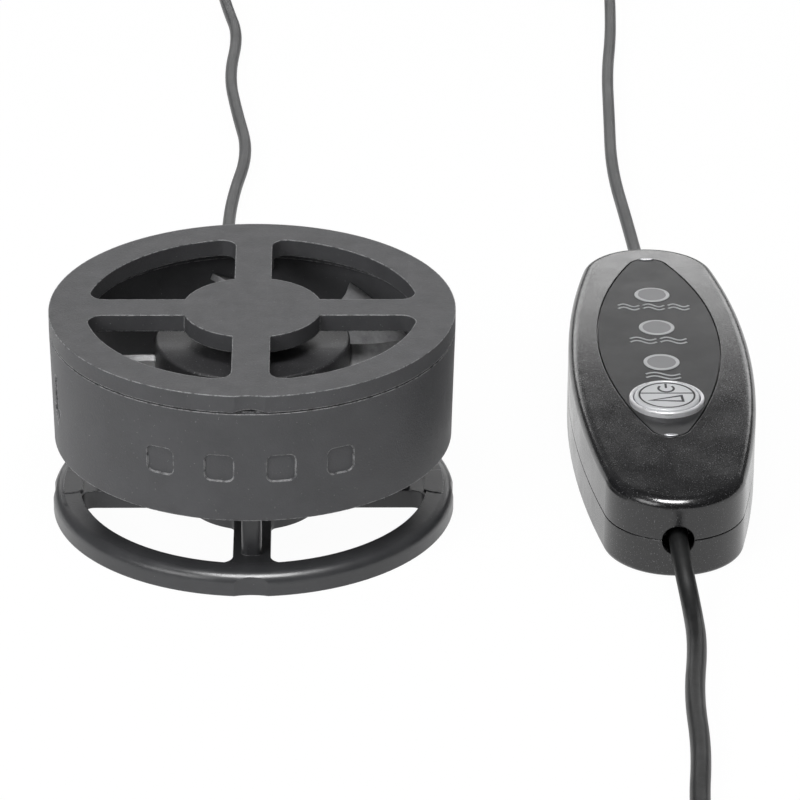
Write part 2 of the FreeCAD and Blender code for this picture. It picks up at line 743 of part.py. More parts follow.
def gland():
    """Rubber strain relief: a shank in the wall and a ribbed taper outside it."""
    outside = body_base_radius - gland_wall_sink
    shank = Part.makeCylinder(gland_shank_radius, outside - duct_radius,
                              Vector(0, duct_radius, gland_height), Vector(0, 1, 0))
    pieces = [shank]
    pitch = gland_length / gland_ribs
    for number in range(gland_ribs):
        radius = gland_radius - gland_taper * number
        start = outside + pitch * number
        rib = Part.makeCone(radius, radius - gland_rib_slope, pitch * gland_rib_share,
                            Vector(0, start, gland_height), Vector(0, 1, 0))
        neck = Part.makeCylinder(radius - gland_neck_depth, pitch, Vector(0, start, gland_height),
                                 Vector(0, 1, 0))
        pieces += [rib, neck]
    solid = joined(pieces)
    bore = Part.makeCylinder(pump_cord_diameter / 2, gland_length + 10,
                             Vector(0, duct_radius - 2, gland_height), Vector(0, 1, 0))
    housing = housing_cone(0, housing_bottom, housing_top)
    socket = Part.makeCylinder(gland_shank_radius, 6, Vector(0, duct_radius - 1, gland_height),
                               Vector(0, 1, 0))
    return solid.cut(bore).cut(housing.cut(socket))


# ---- controller ------------------------------------------------------------------------
def case_solid():
    """Outside of the controller, with its edges rounded."""
    solid = case_prism(0, controller_height + 5).common(under_crown(0))
    end_drop = crown_level(controller_length / 2) - 0.5
    top_edges = [edge for edge in solid.Edges if edge.BoundBox.ZMin > end_drop]
    solid = solid.makeFillet(controller_edge_radius, top_edges)
    foot_edges = [edge for edge in solid.Edges if edge.BoundBox.ZMax < 0.01]
    return solid.makeFillet(controller_foot_radius, foot_edges)


def case_hollow():
    inner = case_prism(controller_floor, controller_height + 5, controller_wall)
    return inner.common(under_crown(controller_roof))


def cord_holes():
    reach = controller_length / 2
    rear = Part.makeCylinder(pump_cord_diameter / 2 + cord_hole_clearance, 12,
                             Vector(controller_x, controller_y + reach - 8, seam_height), Vector(0, 1, 0))
    front = Part.makeCylinder(supply_cord_diameter / 2 + cord_hole_clearance, 12,
                              Vector(controller_x, controller_y - reach + 8, seam_height), Vector(0, -1, 0))
    return [rear, front]


def seam_groove():
    low = seam_height - seam_groove_height / 2
    high = seam_height + seam_groove_height / 2
    return case_prism(low, high, -1).cut(case_prism(low - 1, high + 1, seam_groove_depth))


def lamp_shifts():
    return [lamp_shift + lamp_pitch * (1 - number) for number in range(lamp_count)]


def at_controller(shape_function, shift, *sizes):
    return shape_function(*sizes, controller_x, controller_y + shift)


def case_boss_places():
    return [(controller_x + side * case_boss_x, controller_y + end * case_boss_y)
            for side in (-1, 1) for end in (-1, 1)]


def case_half(low, high):
    return case_solid().cut(case_hollow()).common(
        centred_box(controller_x, controller_y, 2 * controller_width, 2 * controller_length, low, high))


def controller_top_shell():
    shell = case_half(seam_height, controller_height + 1)
    bosses = []
    for x, y in case_boss_places():
        bosses.append(cylinder(case_boss_radius, seam_height, controller_height - controller_roof + 0.6, x, y))
    shell = joined([shell] + bosses)
    lip_room = case_prism(seam_height - 1, seam_height + seam_lip_height + seam_lip_clearance,
                          controller_wall / 2)
    lip_room = lip_room.cut(case_prism(seam_height - 2, seam_height + 3, controller_wall + 0.4))
    recess = oval_prism(panel_length, panel_width, panel_tip_radius, seam_height,
                        controller_height + 1, -panel_clearance, panel_shift)
    recess = recess.cut(under_crown(panel_thickness))
    cutters = [lip_room, recess, seam_groove()] + cord_holes()
    for shift in lamp_shifts():
        cutters.append(cylinder(lamp_stem_radius + lamp_clearance, seam_height,
                                controller_height + 1, controller_x, controller_y + shift))
    cutters.append(cylinder(button_radius + button_gap, seam_height, controller_height + 1,
                            controller_x, controller_y + button_shift))
    for x, y in case_boss_places():
        cutters.append(cylinder(case_screw_radius, seam_height - 1, seam_height + 6, x, y))
    return shell.cut(Part.makeCompound(cutters))


def cord_saddle(end, radius):
    """Block under a cord inside the controller, hollowed to the cord."""
    y = controller_y + end * clamp_offset
    block = centred_box(controller_x, y, clamp_width, clamp_length, controller_floor - 0.3, seam_height)
    groove = Part.makeCylinder(radius, 2 * clamp_length, Vector(controller_x, y - clamp_length, seam_height),
                               Vector(0, 1, 0))
    return block.cut(groove)


def clamp_screw_places(end):
    y = controller_y + end * clamp_offset
    return [(controller_x - clamp_screw_offset, y), (controller_x + clamp_screw_offset, y)]


def controller_bottom_shell():
    shell = case_half(-1, seam_height)
    lip = case_prism(seam_height - 2, seam_height + seam_lip_height,
                     controller_wall / 2 + seam_lip_clearance)
    lip = lip.cut(case_prism(seam_height - 3, seam_height + 3, controller_wall))
    solids = [shell, lip]
    for x, y in case_boss_places():
        solids.append(cylinder(case_boss_radius, controller_floor - 0.5, seam_height, x, y))
    for side in (-1, 1):
        for end in (-1, 1):
            x = controller_x + side * (controller_board_width / 2 - 2.5)
            y = controller_y + end * (controller_board_length / 2 - 4)
            solids.append(cylinder(controller_standoff_radius, controller_floor - 0.5, board_level, x, y))
    solids.append(cord_saddle(1, pump_cord_diameter / 2))
    solids.append(cord_saddle(-1, supply_cord_diameter / 2))
    shell = joined(solids)
    cutters = [seam_groove()] + cord_holes()
    for x, y in case_boss_places():
        cutters.append(cylinder(case_screw_radius, -1, seam_height + 1, x, y))
        cutters.append(cylinder(case_screw_head_radius + 0.2, -1,
                                case_screw_sink + case_screw_head_height, x, y))
    for end in (-1, 1):
        for x, y in clamp_screw_places(end):
            cutters.append(cylinder(clamp_screw_radius, controller_floor + 0.4, seam_height + 1, x, y))
    return shell.cut(Part.makeCompound(cutters))


def controller_screws():
    seat = case_screw_sink + case_screw_head_height
    screws = [screw(x, y, seat, seam_height + 5, case_screw_radius, case_screw_head_radius,
                    case_screw_head_height) for x, y in case_boss_places()]
    return Part.makeCompound(screws)


def cord_clamp(end, radius):
    y = controller_y + end * clamp_offset
    block = centred_box(controller_x, y, clamp_width, clamp_length, seam_height,
                        seam_height + clamp_height)
    groove = Part.makeCylinder(radius, 2 * clamp_length, Vector(controller_x, y - clamp_length, seam_height),
                               Vector(0, 1, 0))
    holes = [cylinder(clamp_screw_radius, seam_height - 1, seam_height + clamp_height + 1, x, hole_y)
             for x, hole_y in clamp_screw_places(end)]
    return block.cut(Part.makeCompound([groove] + holes))


def clamp_screws():
    top = seam_height + clamp_height
    screws = []
    for end in (-1, 1):
        for x, y in clamp_screw_places(end):
            shank = cylinder(clamp_screw_radius, controller_floor + 0.6, top, x, y)
            head = cylinder(clamp_screw_head_radius, top, top + clamp_screw_head_height, x, y)
            slot = centred_box(x, y, 2 * clamp_screw_head_radius, clamp_screw_slot,
                               top + clamp_screw_head_height / 2, top + 2)
            screws.append(joined([shank, head]).cut(slot))
    return Part.makeCompound(screws)


def face_panel():
    blank = oval_prism(panel_length, panel_width, panel_tip_radius, seam_height,
                       controller_height + 1, 0, panel_shift)
    plate = blank.common(under_crown(0)).cut(under_crown(panel_thickness))
    holes = [cylinder(lamp_radius + lamp_clearance, seam_height, controller_height + 2,
                      controller_x, controller_y + shift) for shift in lamp_shifts()]
    holes.append(cylinder(bezel_radius() + lamp_clearance, seam_height, controller_height + 2,
                          controller_x, controller_y + button_shift))
    return plate.cut(Part.makeCompound(holes))


def bezel_radius():
    return button_radius + button_gap + bezel_width


def lamp_window(shift):
    """Light pipe: a round window in the panel and a stem down to its lamp."""
    y = controller_y + shift
    top = crown_level(shift) + lamp_rise
    shelf = crown_level(shift) - panel_thickness + seat_gap
    window = cylinder(lamp_radius, shelf, top, controller_x, y)
    stem_low = board_level + controller_board_thickness + led_height + lamp_stem_gap
    stem = cylinder(lamp_stem_radius, stem_low, top - 0.2, controller_x, y)
    return joined([window, stem])


def button_bezel():
    level = crown_level(button_shift)
    y = controller_y + button_shift
    low = level - panel_thickness + seat_gap
    high = level + bezel_rise
    band = ring(bezel_radius(), button_radius + button_gap, low, high, controller_x, y)
    rim = [edge for edge in band.Edges if edge.BoundBox.ZMin > high - 0.01]
    return band.makeFillet(bezel_width * 0.4, rim)


def speed_button():
    level = crown_level(button_shift)
    y = controller_y + button_shift
    top = level + button_rise
    roof_under = level - controller_roof
    flange_top = roof_under - button_roof_gap
    cap = cylinder(button_radius, flange_top - 0.2, top, controller_x, y)
    rim = [edge for edge in cap.Edges if edge.BoundBox.ZMin > top - 0.01]
    cap = cap.makeFillet(button_edge_radius, rim)
    flange = cylinder(button_flange_radius, flange_top - button_flange_thickness, flange_top,
                      controller_x, y)
    stem = cylinder(button_stem_radius, plunger_top(), flange_top, controller_x, y)
    groove = ring(button_groove_radius, button_groove_radius - button_groove_width,
                  top - button_groove_depth, top + 1, controller_x, y)
    divider = centred_box(controller_x, y + button_divider_shift, 2 * button_groove_radius - 0.6,
                          button_divider_width, top - button_groove_depth, top + 1)
    return joined([cap, flange, stem]).cut(Part.makeCompound([groove, divider]))


def switch_top():
    return board_level + controller_board_thickness + switch_height


def plunger_top():
    return switch_top() + switch_plunger_height


def tact_switch():
    y = controller_y + button_shift
    low = board_level + controller_board_thickness
    body = rounded_block(controller_x, y, switch_size, switch_size, low, switch_top(), 0.5)
    well = cylinder(switch_plunger_radius + switch_plunger_clearance,
                    switch_top() - button_travel - 0.4, switch_top() + 1, controller_x, y)
    return body.cut(well)


def switch_plunger():
    return cylinder(switch_plunger_radius, switch_top() - 0.2, plunger_top(), controller_x,
                    controller_y + button_shift)


def controller_board():
    low = board_level
    high = board_level + controller_board_thickness
    return rounded_block(controller_x, controller_y, controller_board_width, controller_board_length,
                         low, high, 2.0)


def board_top_level():
    return board_level + controller_board_thickness


def indicator_leds():
    low = board_top_level()
    leds = []
    for shift in lamp_shifts():
        y = controller_y + shift
        body = cylinder(led_radius, low, low + led_height, controller_x, y)
        dome = [edge for edge in body.Edges if edge.BoundBox.ZMin > low + led_height - 0.01]
        foot = cylinder(led_radius + led_foot_rim, low, low + led_foot_height, controller_x, y)
        leds.append(joined([body.makeFillet(led_radius * 0.7, dome), foot]))
    return Part.makeCompound(leds)


def controller_board_parts():
    low = board_top_level()
    x = controller_x
    y = controller_y
    parts = [centred_box(x + ahead, y + behind, size_x, size_y, low, low + height)
             for ahead, behind, size_x, size_y, height in controller_board_boxes]
    parts += [cylinder(radius, low, low + height, x + ahead, y + behind)
              for ahead, behind, radius, height in controller_board_cans]
    for number in range(small_part_count):
        parts.append(centred_box(x - 8.6 + 1.9 * number, y + 12, 1.1, 2.0, low, low + 0.7))
        parts.append(centred_box(x + 8.6, y - 12 - 2.6 * number, 2.0, 1.25, low, low + 0.7))
    return Part.makeCompound(parts)


# ---- cords -----------------------------------------------------------------------------
def cord_tube(name, points, diameter):
    """Round cord along straight runs joined by the largest tangent arcs that they allow."""
    stops = [Vector(*point) for point in points]
    edges = []
    radii = []
    start = stops[0]
    for before, corner, after in zip(stops, stops[1:], stops[2:]):
        back = before - corner
        ahead = after - corner
        turn = math.pi - back.getAngle(ahead)
        setback = 0.45 * min(back.Length, ahead.Length)
        radius = setback / math.tan(turn / 2)
        back.normalize()
        ahead.normalize()
        inward = back + ahead
        inward.normalize()
        enter = corner + back * setback
        leave = corner + ahead * setback
        middle = corner + inward * (radius / math.cos(turn / 2) - radius)
        edges.append(Part.LineSegment(start, enter).toShape())
        edges.append(Part.Arc(enter, middle, leave).toShape())
        radii.append(radius)
        start = leave
    edges.append(Part.LineSegment(start, stops[-1]).toShape())
    path = Part.Wire(edges)
    section = Part.Wire(Part.Circle(stops[0], stops[1] - stops[0], diameter / 2).toShape())
    tube = path.makePipeShell([section], True, False)
    expected = math.pi * diameter ** 2 / 4 * path.Length
    print(name, "length", round(path.Length, 1), "volume ratio", round(tube.Volume / expected, 5),
          "radii in diameters", [round(radius / diameter, 1) for radius in radii])
    return tube


def coil_profile(diameter, grow):
    """Section of a coil of three turns below and two above, grown all round by grow."""
    mean = coil_radius_in_diameters * diameter
    low = coil_levels - grow
    top = coil_levels + 1.9 * diameter + grow
    shoulder = coil_levels + 0.75 * diameter
    wide = 1.55 * diameter + grow
    narrow = 1.05 * diameter + grow
    return ((mean - wide, low), (mean + wide, low), (mean + wide, shoulder), (mean + narrow, top),
            (mean - narrow, top), (mean - wide, shoulder))


def cord_coil(centre, diameter):
    return revolved(coil_profile(diameter, 0), *centre)


def coil_tie(centre, diameter, angle):
    """Band round the turns of a coil at one place."""
    band = revolved(coil_profile(diameter, coil_tie_thickness), *centre)
    reach = (coil_radius_in_diameters + 3) * diameter
    cut = box(centre[0], centre[0] + reach, centre[1] - coil_tie_width / 2,
              centre[1] + coil_tie_width / 2, -1, 4 * diameter)
    cut = turned(cut, angle, Vector(centre[0], centre[1], 0))
    return band.common(cut).cut(cord_coil(centre, diameter))


# ---- USB plug --------------------------------------------------------------------------
def plug_block(start, length, width, height):
    """Block on the plug's axis, from a distance along it, towards -X."""
    return box(plug_x - start - length, plug_x - start, plug_y - width / 2, plug_y + width / 2,
               plug_centre_height - height / 2, plug_centre_height + height / 2)


def usb_plug_grip():
    grip = plug_block(plug_relief_length, plug_grip_length, plug_grip_width, plug_grip_height)
    long_edges = [edge for edge in grip.Edges if abs(edge.tangentAt(edge.FirstParameter).x) > 0.99]
    grip = grip.makeFillet(plug_grip_edge_radius, long_edges)
    start = Vector(plug_x, plug_y, plug_centre_height)
    relief = Part.makeCone(supply_cord_diameter / 2 + 0.6, plug_relief_radius, plug_relief_length + 0.5,
                           start, Vector(-1, 0, 0))
    solid = joined([grip, relief])
    bore_length = plug_relief_length + plug_grip_length - usb_shell_inside_grip
    bore_depth = plug_x - supply_tail_points[-1][0]
    bore = Part.makeCylinder(supply_cord_diameter / 2, bore_depth + 1, start + Vector(1, 0, 0),
                             Vector(-1, 0, 0))
    socket = plug_block(bore_length, usb_shell_inside_grip + 1, usb_shell_width, usb_shell_height)
    return solid.cut(bore).cut(socket)


def usb_start():
    return plug_relief_length + plug_grip_length - usb_shell_inside_grip


def usb_full_length():
    return usb_shell_length + usb_shell_inside_grip


def usb_plug_shell():
    outer = plug_block(usb_start(), usb_full_length(), usb_shell_width, usb_shell_height)
    inner = plug_block(usb_start() - 1, usb_full_length() + 2, usb_shell_width - 2 * usb_shell_wall,
                       usb_shell_height - 2 * usb_shell_wall)
    shell = outer.cut(inner)
    windows = []
    for side in (-1, 1):
        x = plug_x - usb_start() - usb_shell_inside_grip - usb_window_distance
        windows.append(centred_box(x, plug_y + side * usb_window_offset, *usb_window_size, plug_centre_height,
                                   plug_centre_height + usb_shell_height))
    return shell.cut(Part.makeCompound(windows))


def tongue_level():
    """Lower face of the tongue, which lies on the shell's floor."""
    return plug_centre_height - usb_shell_height / 2 + usb_shell_wall + usb_tongue_clearance


def usb_plug_tongue():
    half = usb_shell_width / 2 - usb_shell_wall - usb_tongue_clearance
    front = plug_x - usb_start() - usb_full_length() + 0.6
    back = plug_x - usb_start()
    low = tongue_level()
    tongue = box(front, back, plug_y - half, plug_y + half, low, low + usb_tongue_height)
    block_top = plug_centre_height + usb_shell_height / 2 - usb_shell_wall - usb_tongue_clearance
    block = box(back - usb_shell_inside_grip, back, plug_y - half, plug_y + half, low, block_top)
    return joined([tongue, block])


def usb_contacts():
    top = tongue_level() + usb_tongue_height
    back = plug_x - usb_start() - usb_shell_inside_grip
    strips = []
    for number in range(4):
        y = plug_y + (number - 1.5) * usb_contact_pitch
        length = usb_long_contact if number in (0, 3) else usb_short_contact
        front = back - usb_shell_length + usb_contact_setback + usb_long_contact - length
        strips.append(box(front, back, y - usb_contact_width / 2, y + usb_contact_width / 2,
                          top, top + usb_contact_thickness))
    return Part.makeCompound(strips)


# ---- all pieces ------------------------------------------------------------------------
def all_pieces():
    pieces = {
        "housing_shell": housing_shell(),
        "cover_grille": cover_grille(),
        "base_stand": base_stand(),
        "stand_screws": stand_screws(),
        "impeller": impeller(),
        "rotor_yoke": rotor_yoke(),
        "rotor_magnet": rotor_magnet(),
        "rotor_shaft": rotor_shaft(),
        "shaft_clip": shaft_clip(),
        "lower_bearing": sleeve_bearing(lower_bearing_bottom),
        "upper_bearing": sleeve_bearing(upper_bearing_top - bearing_length),
        "thrust_washer": thrust_washer(),
        "bearing_cap": bearing_cap(),
        "stator_core": stator_core(),
        "stator_insulator": stator_insulator(),
        "stator_windings": stator_windings(),
        "drive_board": drive_board(),
        "drive_board_parts": drive_board_parts(),
        "motor_lead": motor_lead(),
        "pump_gland": gland(),
        "controller_top_shell": controller_top_shell(),
        "controller_bottom_shell": controller_bottom_shell(),
        "controller_screws": controller_screws(),
        "controller_board": controller_board(),
        "controller_board_parts": controller_board_parts(),
        "indicator_leds": indicator_leds(),
        "face_panel": face_panel(),
        "button_bezel": button_bezel(),
        "speed_button": speed_button(),
        "switch_plunger": switch_plunger(),
        "tact_switch": tact_switch(),
        "rear_cord_clamp": cord_clamp(1, pump_cord_diameter / 2),
        "front_cord_clamp": cord_clamp(-1, supply_cord_diameter / 2),
        "clamp_screws": clamp_screws(),
        "pump_cord": cord_tube("pump_cord", pump_cord_points, pump_cord_diameter),
        "pump_cord_coil": cord_coil(pump_coil_centre, pump_cord_diameter),
        "pump_cord_return": cord_tube("pump_cord_return", pump_return_points, pump_cord_diameter),
        "pump_coil_tie": coil_tie(pump_coil_centre, pump_cord_diameter, 90),
        "supply_cord": cord_tube("supply_cord", supply_cord_points, supply_cord_diameter),
        "supply_cord_coil": cord_coil(supply_coil_centre, supply_cord_diameter),
        "supply_cord_tail": cord_tube("supply_cord_tail", supply_tail_points, supply_cord_diameter),
        "supply_coil_tie": coil_tie(supply_coil_centre, supply_cord_diameter, 180),
        "usb_plug_grip": usb_plug_grip(),
        "usb_plug_shell": usb_plug_shell(),
        "usb_plug_tongue": usb_plug_tongue(),
        "usb_contacts": usb_contacts(),
    }
    for name, shift in zip(("high", "middle", "low"), lamp_shifts()):
        pieces["lamp_window_" + name] = lamp_window(shift)
    return pieces


os.makedirs("parts", exist_ok=True)
for node, shape in all_pieces().items():
    print(node, "solids", len(shape.Solids), "valid", shape.isValid(), "volume", round(shape.Volume, 1))
    shape.exportStep("parts/" + node + ".step")
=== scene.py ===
import math

import bmesh
import bpy
from bpy.props import FloatProperty, FloatVectorProperty, PointerProperty
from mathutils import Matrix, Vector


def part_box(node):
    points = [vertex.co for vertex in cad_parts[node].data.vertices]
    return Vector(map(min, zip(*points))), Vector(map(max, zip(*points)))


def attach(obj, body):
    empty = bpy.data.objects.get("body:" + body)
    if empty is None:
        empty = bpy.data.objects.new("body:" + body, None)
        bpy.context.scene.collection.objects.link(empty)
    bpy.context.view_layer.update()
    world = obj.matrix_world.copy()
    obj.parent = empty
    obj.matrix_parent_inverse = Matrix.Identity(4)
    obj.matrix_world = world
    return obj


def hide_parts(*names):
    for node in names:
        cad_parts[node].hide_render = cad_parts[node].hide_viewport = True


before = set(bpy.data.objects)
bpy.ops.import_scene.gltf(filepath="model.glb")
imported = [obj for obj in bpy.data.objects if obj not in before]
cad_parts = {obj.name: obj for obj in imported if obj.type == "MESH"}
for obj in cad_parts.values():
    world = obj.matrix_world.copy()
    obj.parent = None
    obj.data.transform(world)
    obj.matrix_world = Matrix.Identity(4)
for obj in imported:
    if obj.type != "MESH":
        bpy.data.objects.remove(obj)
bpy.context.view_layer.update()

bl_info = {
    "name": "Wave Maker Pump",
    "version": (1, 0, 0),
    "blender": (4, 5, 0),
    "location": "View3D > Sidebar > Wave Pump",
    "description": "Finishes, cords and small parts of a wave maker pump with its speed controller",
    "category": "Object",
}

# A mix node has one set of sockets for each data type; these are the colour ones.
MIX_COLOUR_INPUTS = (6, 7)
MIX_COLOUR_OUTPUT = 2
WHITE = (1.0, 1.0, 1.0, 1.0)

# Pieces that share a material.
HOUSING_PIECES = ("housing_shell", "cover_grille")
BEARING_PIECES = ("lower_bearing", "upper_bearing")
SCREW_PIECES = ("stand_screws", "controller_screws", "clamp_screws", "shaft_clip")
SMALL_MOULDINGS = ("tact_switch", "switch_plunger", "rear_cord_clamp", "front_cord_clamp")
BOARD_PIECES = ("drive_board", "controller_board")
CHIP_PIECES = ("drive_board_parts", "controller_board_parts")
CASE_PIECES = ("controller_top_shell", "controller_bottom_shell")
LAMP_PIECES = ("lamp_window_high", "lamp_window_middle", "lamp_window_low")

# Controller face: its middle, the height and radius of its crowned top, the button's middle
# and the tips of the face panel.
CONTROLLER_X = 0.0828
CONTROLLER_Y = 0.02725
CONTROLLER_TOP = 0.018
CROWN_RADIUS = 1.24
BUTTON_Y = 0.00905
PANEL_TIPS_Y = (-0.00575, 0.07935)
# Bright metal nibs at the two panel tips, a painted highlight there.
TIP_HIGHLIGHT_HALF_LENGTH = 0.0014
TIP_HIGHLIGHT_HALF_WIDTH = 0.00035
TIP_HIGHLIGHT_HEIGHT = 0.00022
TIP_HIGHLIGHT_STEP_DEGREES = 20

# Faces of the added pieces that meet at more than this stay sharp.
SHARP_ANGLE_DEGREES = 40.0

# Prints round and under the lamp windows, and on the button.
LAMP_RING_RADIUS = 0.00330
LAMP_RING_WIDTH = 0.00075
LAMP_RING_HEIGHT = 0.00012
LAMP_RING_STEPS = 64
CREST_COUNTS = (3, 2, 1)
CREST_LENGTHS = (0.0044, 0.0054, 0.0070)
CREST_GAP = 0.0008
CREST_ROWS = (0.0, 0.0016)
CREST_HEIGHT = 0.0007
CREST_STEPS = 12
CREST_DROP = 0.0070
GROOVE_RADIUS = 0.005525
GROOVE_WIDTH = 0.00036
GROOVE_LINE_Y = 0.0009
GROOVE_HEIGHT = 0.00003
GROOVE_STEPS = 96
POWER_SYMBOL_Y = 0.0030
POWER_SYMBOL_RADIUS = 0.00155
POWER_SYMBOL_ARC = (140.0, 400.0)
POWER_SYMBOL_STEPS = 36
POWER_SYMBOL_BAR = (0.0002, 0.0021)
POWER_LINE_SHARE = 0.9
RAMP_SYMBOL_CORNERS = ((-0.0034, -0.0024), (0.0031, -0.0028), (0.0029, -0.0003))

# Routes of the two cords, as points that each cord is drawn towards.
PUMP_CORD_POINTS = (
    (0.0, 0.038, 0.0186), (0.0, 0.058, 0.0186), (-0.0008, 0.0765, 0.0084), (-0.004, 0.097, 0.0014),
    (-0.0076, 0.1206, 0.0014), (-0.007, 0.1463, 0.0014), (-0.0034, 0.173, 0.0014),
    (-0.0065, 0.1966, 0.0014), (-0.0088, 0.2195, 0.0014), (-0.0069, 0.245, 0.0014),
    (-0.0098, 0.262, 0.0014), (-0.012, 0.2795, 0.0014), (-0.006, 0.2925, 0.0014),
    (0.0075, 0.2972, 0.0014), (0.02, 0.2962, 0.0016), (0.03, 0.2958, 0.0019),
)
PUMP_RETURN_POINTS = (
    (0.043, 0.2962, 0.0043), (0.0535, 0.2973, 0.003), (0.065, 0.298, 0.0014),
    (0.0805, 0.2925, 0.0014), (0.0852, 0.277, 0.0014), (0.0846, 0.26, 0.0014),
    (0.0837, 0.2425, 0.0014), (0.0818, 0.2208, 0.0014), (0.081, 0.195, 0.0014),
    (0.0799, 0.1634, 0.0014), (0.0819, 0.1336, 0.0014), (0.0832, 0.1106, 0.0015),
    (0.0828, 0.0965, 0.008), (0.0828, 0.0775, 0.008),
)
SUPPLY_CORD_POINTS = (
    (0.0828, -0.023, 0.008), (0.0828, -0.0365, 0.008), (0.0846, -0.049, 0.002),
    (0.0848, -0.063, 0.0019), (0.0827, -0.0825, 0.0019), (0.0829, -0.1025, 0.0019),
    (0.081, -0.1225, 0.0019), (0.0812, -0.142, 0.002), (0.0808, -0.156, 0.0024),
)
SUPPLY_TAIL_POINTS = (
    (0.05, -0.1888, 0.0054), (0.036, -0.1878, 0.0032), (0.024, -0.1876, 0.0024),
    (0.012, -0.1872, 0.0042), (0.0, -0.1872, 0.0042),
)
PUMP_COIL_CENTRE = (0.036, 0.314)
SUPPLY_COIL_CENTRE = (0.0565, -0.163)
COIL_FLOOR_GAP = 0.0005
POINTS_PER_TURN = 16
PUMP_COIL_START_DEGREES = -90.0
PUMP_COIL_TURNS = 5.0
SUPPLY_COIL_START_DEGREES = 0.0
SUPPLY_COIL_TURNS = 5.25

# A coil turn by turn: turns wound so far, then radius and height above the lowest layer in
# cord diameters.
COIL_STATIONS = (
    (0.0, 6.5, 0.0), (0.8, 6.5, 0.0), (1.0, 5.5, 0.0), (1.8, 5.5, 0.0), (2.0, 4.5, 0.0),
    (2.78, 4.5, 0.0), (2.9, 4.3, 0.7), (3.0, 5.0, 0.87), (3.8, 5.0, 0.87), (3.9, 5.5, 0.92),
    (4.0, 6.0, 0.87), (4.8, 6.0, 0.87), (4.9, 6.5, 0.92), (5.0, 7.0, 1.0), (5.3, 7.0, 0.95),
)

# Studio: floor, background light, softboxes and camera.
FLOOR_HALF_WIDTH = 6.0
FLOOR_GREY = (0.80, 0.80, 0.80, 1.0)
FLOOR_GLOW = 1.03
FLOOR_GLOW_SHARE = 0.94
ROOM_LIGHT = 0.22
ROOM_LIGHT_IN_GLOSS = 0.10
SOFTBOX_AIM = (0.04, 0.02, 0.02)
# Name, place, width, height, power in watts, and whether it lights matt surfaces too.
SOFTBOXES = (
    ("key_softbox", (-0.85, -0.85, 0.70), 0.8, 0.6, 6.6, True),
    ("top_softbox", (0.02, -0.35, 1.1), 0.6, 0.5, 4.2, True),
    ("glint_softbox", (0.0, -0.36, 1.08), 0.5, 0.4, 16.0, False),
    ("rear_softbox", (0.1, 1.35, 0.43), 1.6, 0.28, 3.8, True),
)
CAMERA_PLACE = (0.01507, -0.894674, 0.461829)
CAMERA_TURN_DEGREES = (63.8557, -0.2966, -0.7558)
CAMERA_LENS_MM = 226.097
CAMERA_SENSOR_MM = 36.0


class WavePumpSizes(bpy.types.PropertyGroup):
    pump_cord: FloatProperty(
        name="Pump cord", description="Diameter of the cord between the pump and the controller",
        default=0.0028, min=0.001, max=0.006, unit="LENGTH", subtype="DISTANCE")
    supply_cord: FloatProperty(
        name="Supply cord", description="Diameter of the cord between the controller and the plug",
        default=0.0038, min=0.001, max=0.008, unit="LENGTH", subtype="DISTANCE")
    edge_rounding: FloatProperty(
        name="Edge rounding", description="Radius that moulded edges catch the light with",
        default=0.00028, min=0.0, max=0.002, unit="LENGTH", subtype="DISTANCE")
    grain_spacing: FloatProperty(
        name="Grain spacing", description="Distance between the pits of the moulded grain",
        default=0.00042, min=0.0001, max=0.003, unit="LENGTH", subtype="DISTANCE")
    print_line: FloatProperty(
        name="Print line", description="Line width of the printed marks",
        default=0.0005, min=0.0001, max=0.002, unit="LENGTH", subtype="DISTANCE")
    print_height: FloatProperty(
        name="Print height", description="Thickness of the printed marks",
        default=0.00005, min=0.00001, max=0.0005, unit="LENGTH", subtype="DISTANCE")


def colour_property(name, description, value):
    return FloatVectorProperty(name=name, description=description, default=value, size=3,
                               min=0.0, max=1.0, subtype="COLOR")


class WavePumpColours(bpy.types.PropertyGroup):
    housing: colour_property("Housing", "Housing and grille", (0.082, 0.083, 0.088))
    stand: colour_property("Stand", "Ring stand", (0.057, 0.058, 0.062))
    impeller: colour_property("Impeller", "Hub, blades and bearing cap", (0.055, 0.055, 0.058))
    controller: colour_property("Controller", "Controller case", (0.0075, 0.0075, 0.0085))
    panel: colour_property("Panel", "Face panel of the controller", (0.026, 0.026, 0.028))
    window: colour_property("Lamp window", "Round lamp windows", (0.30, 0.30, 0.31))
    button: colour_property("Button", "Speed button", (0.78, 0.79, 0.81))
    pump_cord: colour_property("Pump cord", "Cord between pump and controller", (0.070, 0.072, 0.074))
    supply_cord: colour_property(
        "Supply cord", "Cord between controller and plug", (0.010, 0.0105, 0.011))
    light_print: colour_property("Light print", "Marks on the face panel", (0.53, 0.54, 0.55))
    ring_print: colour_property("Ring print", "Rings round the lamp windows", (0.62, 0.63, 0.64))
    dark_print: colour_property("Dark print", "Marks on the button", (0.055, 0.055, 0.06))


# ---- shader node groups ----------------------------------------------------------------
def new_group(name, inputs, outputs):
    """Empty node group with its sockets, and its input and output nodes."""
    group = bpy.data.node_groups.new(name, "ShaderNodeTree")
    for label, kind, value in inputs:
        socket = group.interface.new_socket(label, in_out="INPUT", socket_type=kind)
        if value is not None:
            socket.default_value = value
    for label, kind in outputs:
        group.interface.new_socket(label, in_out="OUTPUT", socket_type=kind)
    return group, group.nodes.new("NodeGroupInput"), group.nodes.new("NodeGroupOutput")


def feed(tree, node, links):
    """Link or set a node's inputs; links maps their names or numbers to sockets or values."""
    for key, value in links.items():
        socket = node.inputs[key]
        if isinstance(value, bpy.types.NodeSocket):
            tree.links.new(value, socket)
        else:
            socket.default_value = value


def put(tree, kind, links=None, **settings):
    """New node with its settings and its inputs fed."""
    node = tree.nodes.new(kind)
    for key, value in settings.items():
        setattr(node, key, value)
    feed(tree, node, links or {})
    return node


def maths(tree, operation, first, second=0.0, clamp=False):
    node = put(tree, "ShaderNodeMath", {0: first, 1: second}, operation=operation, use_clamp=clamp)
    return node.outputs[0]


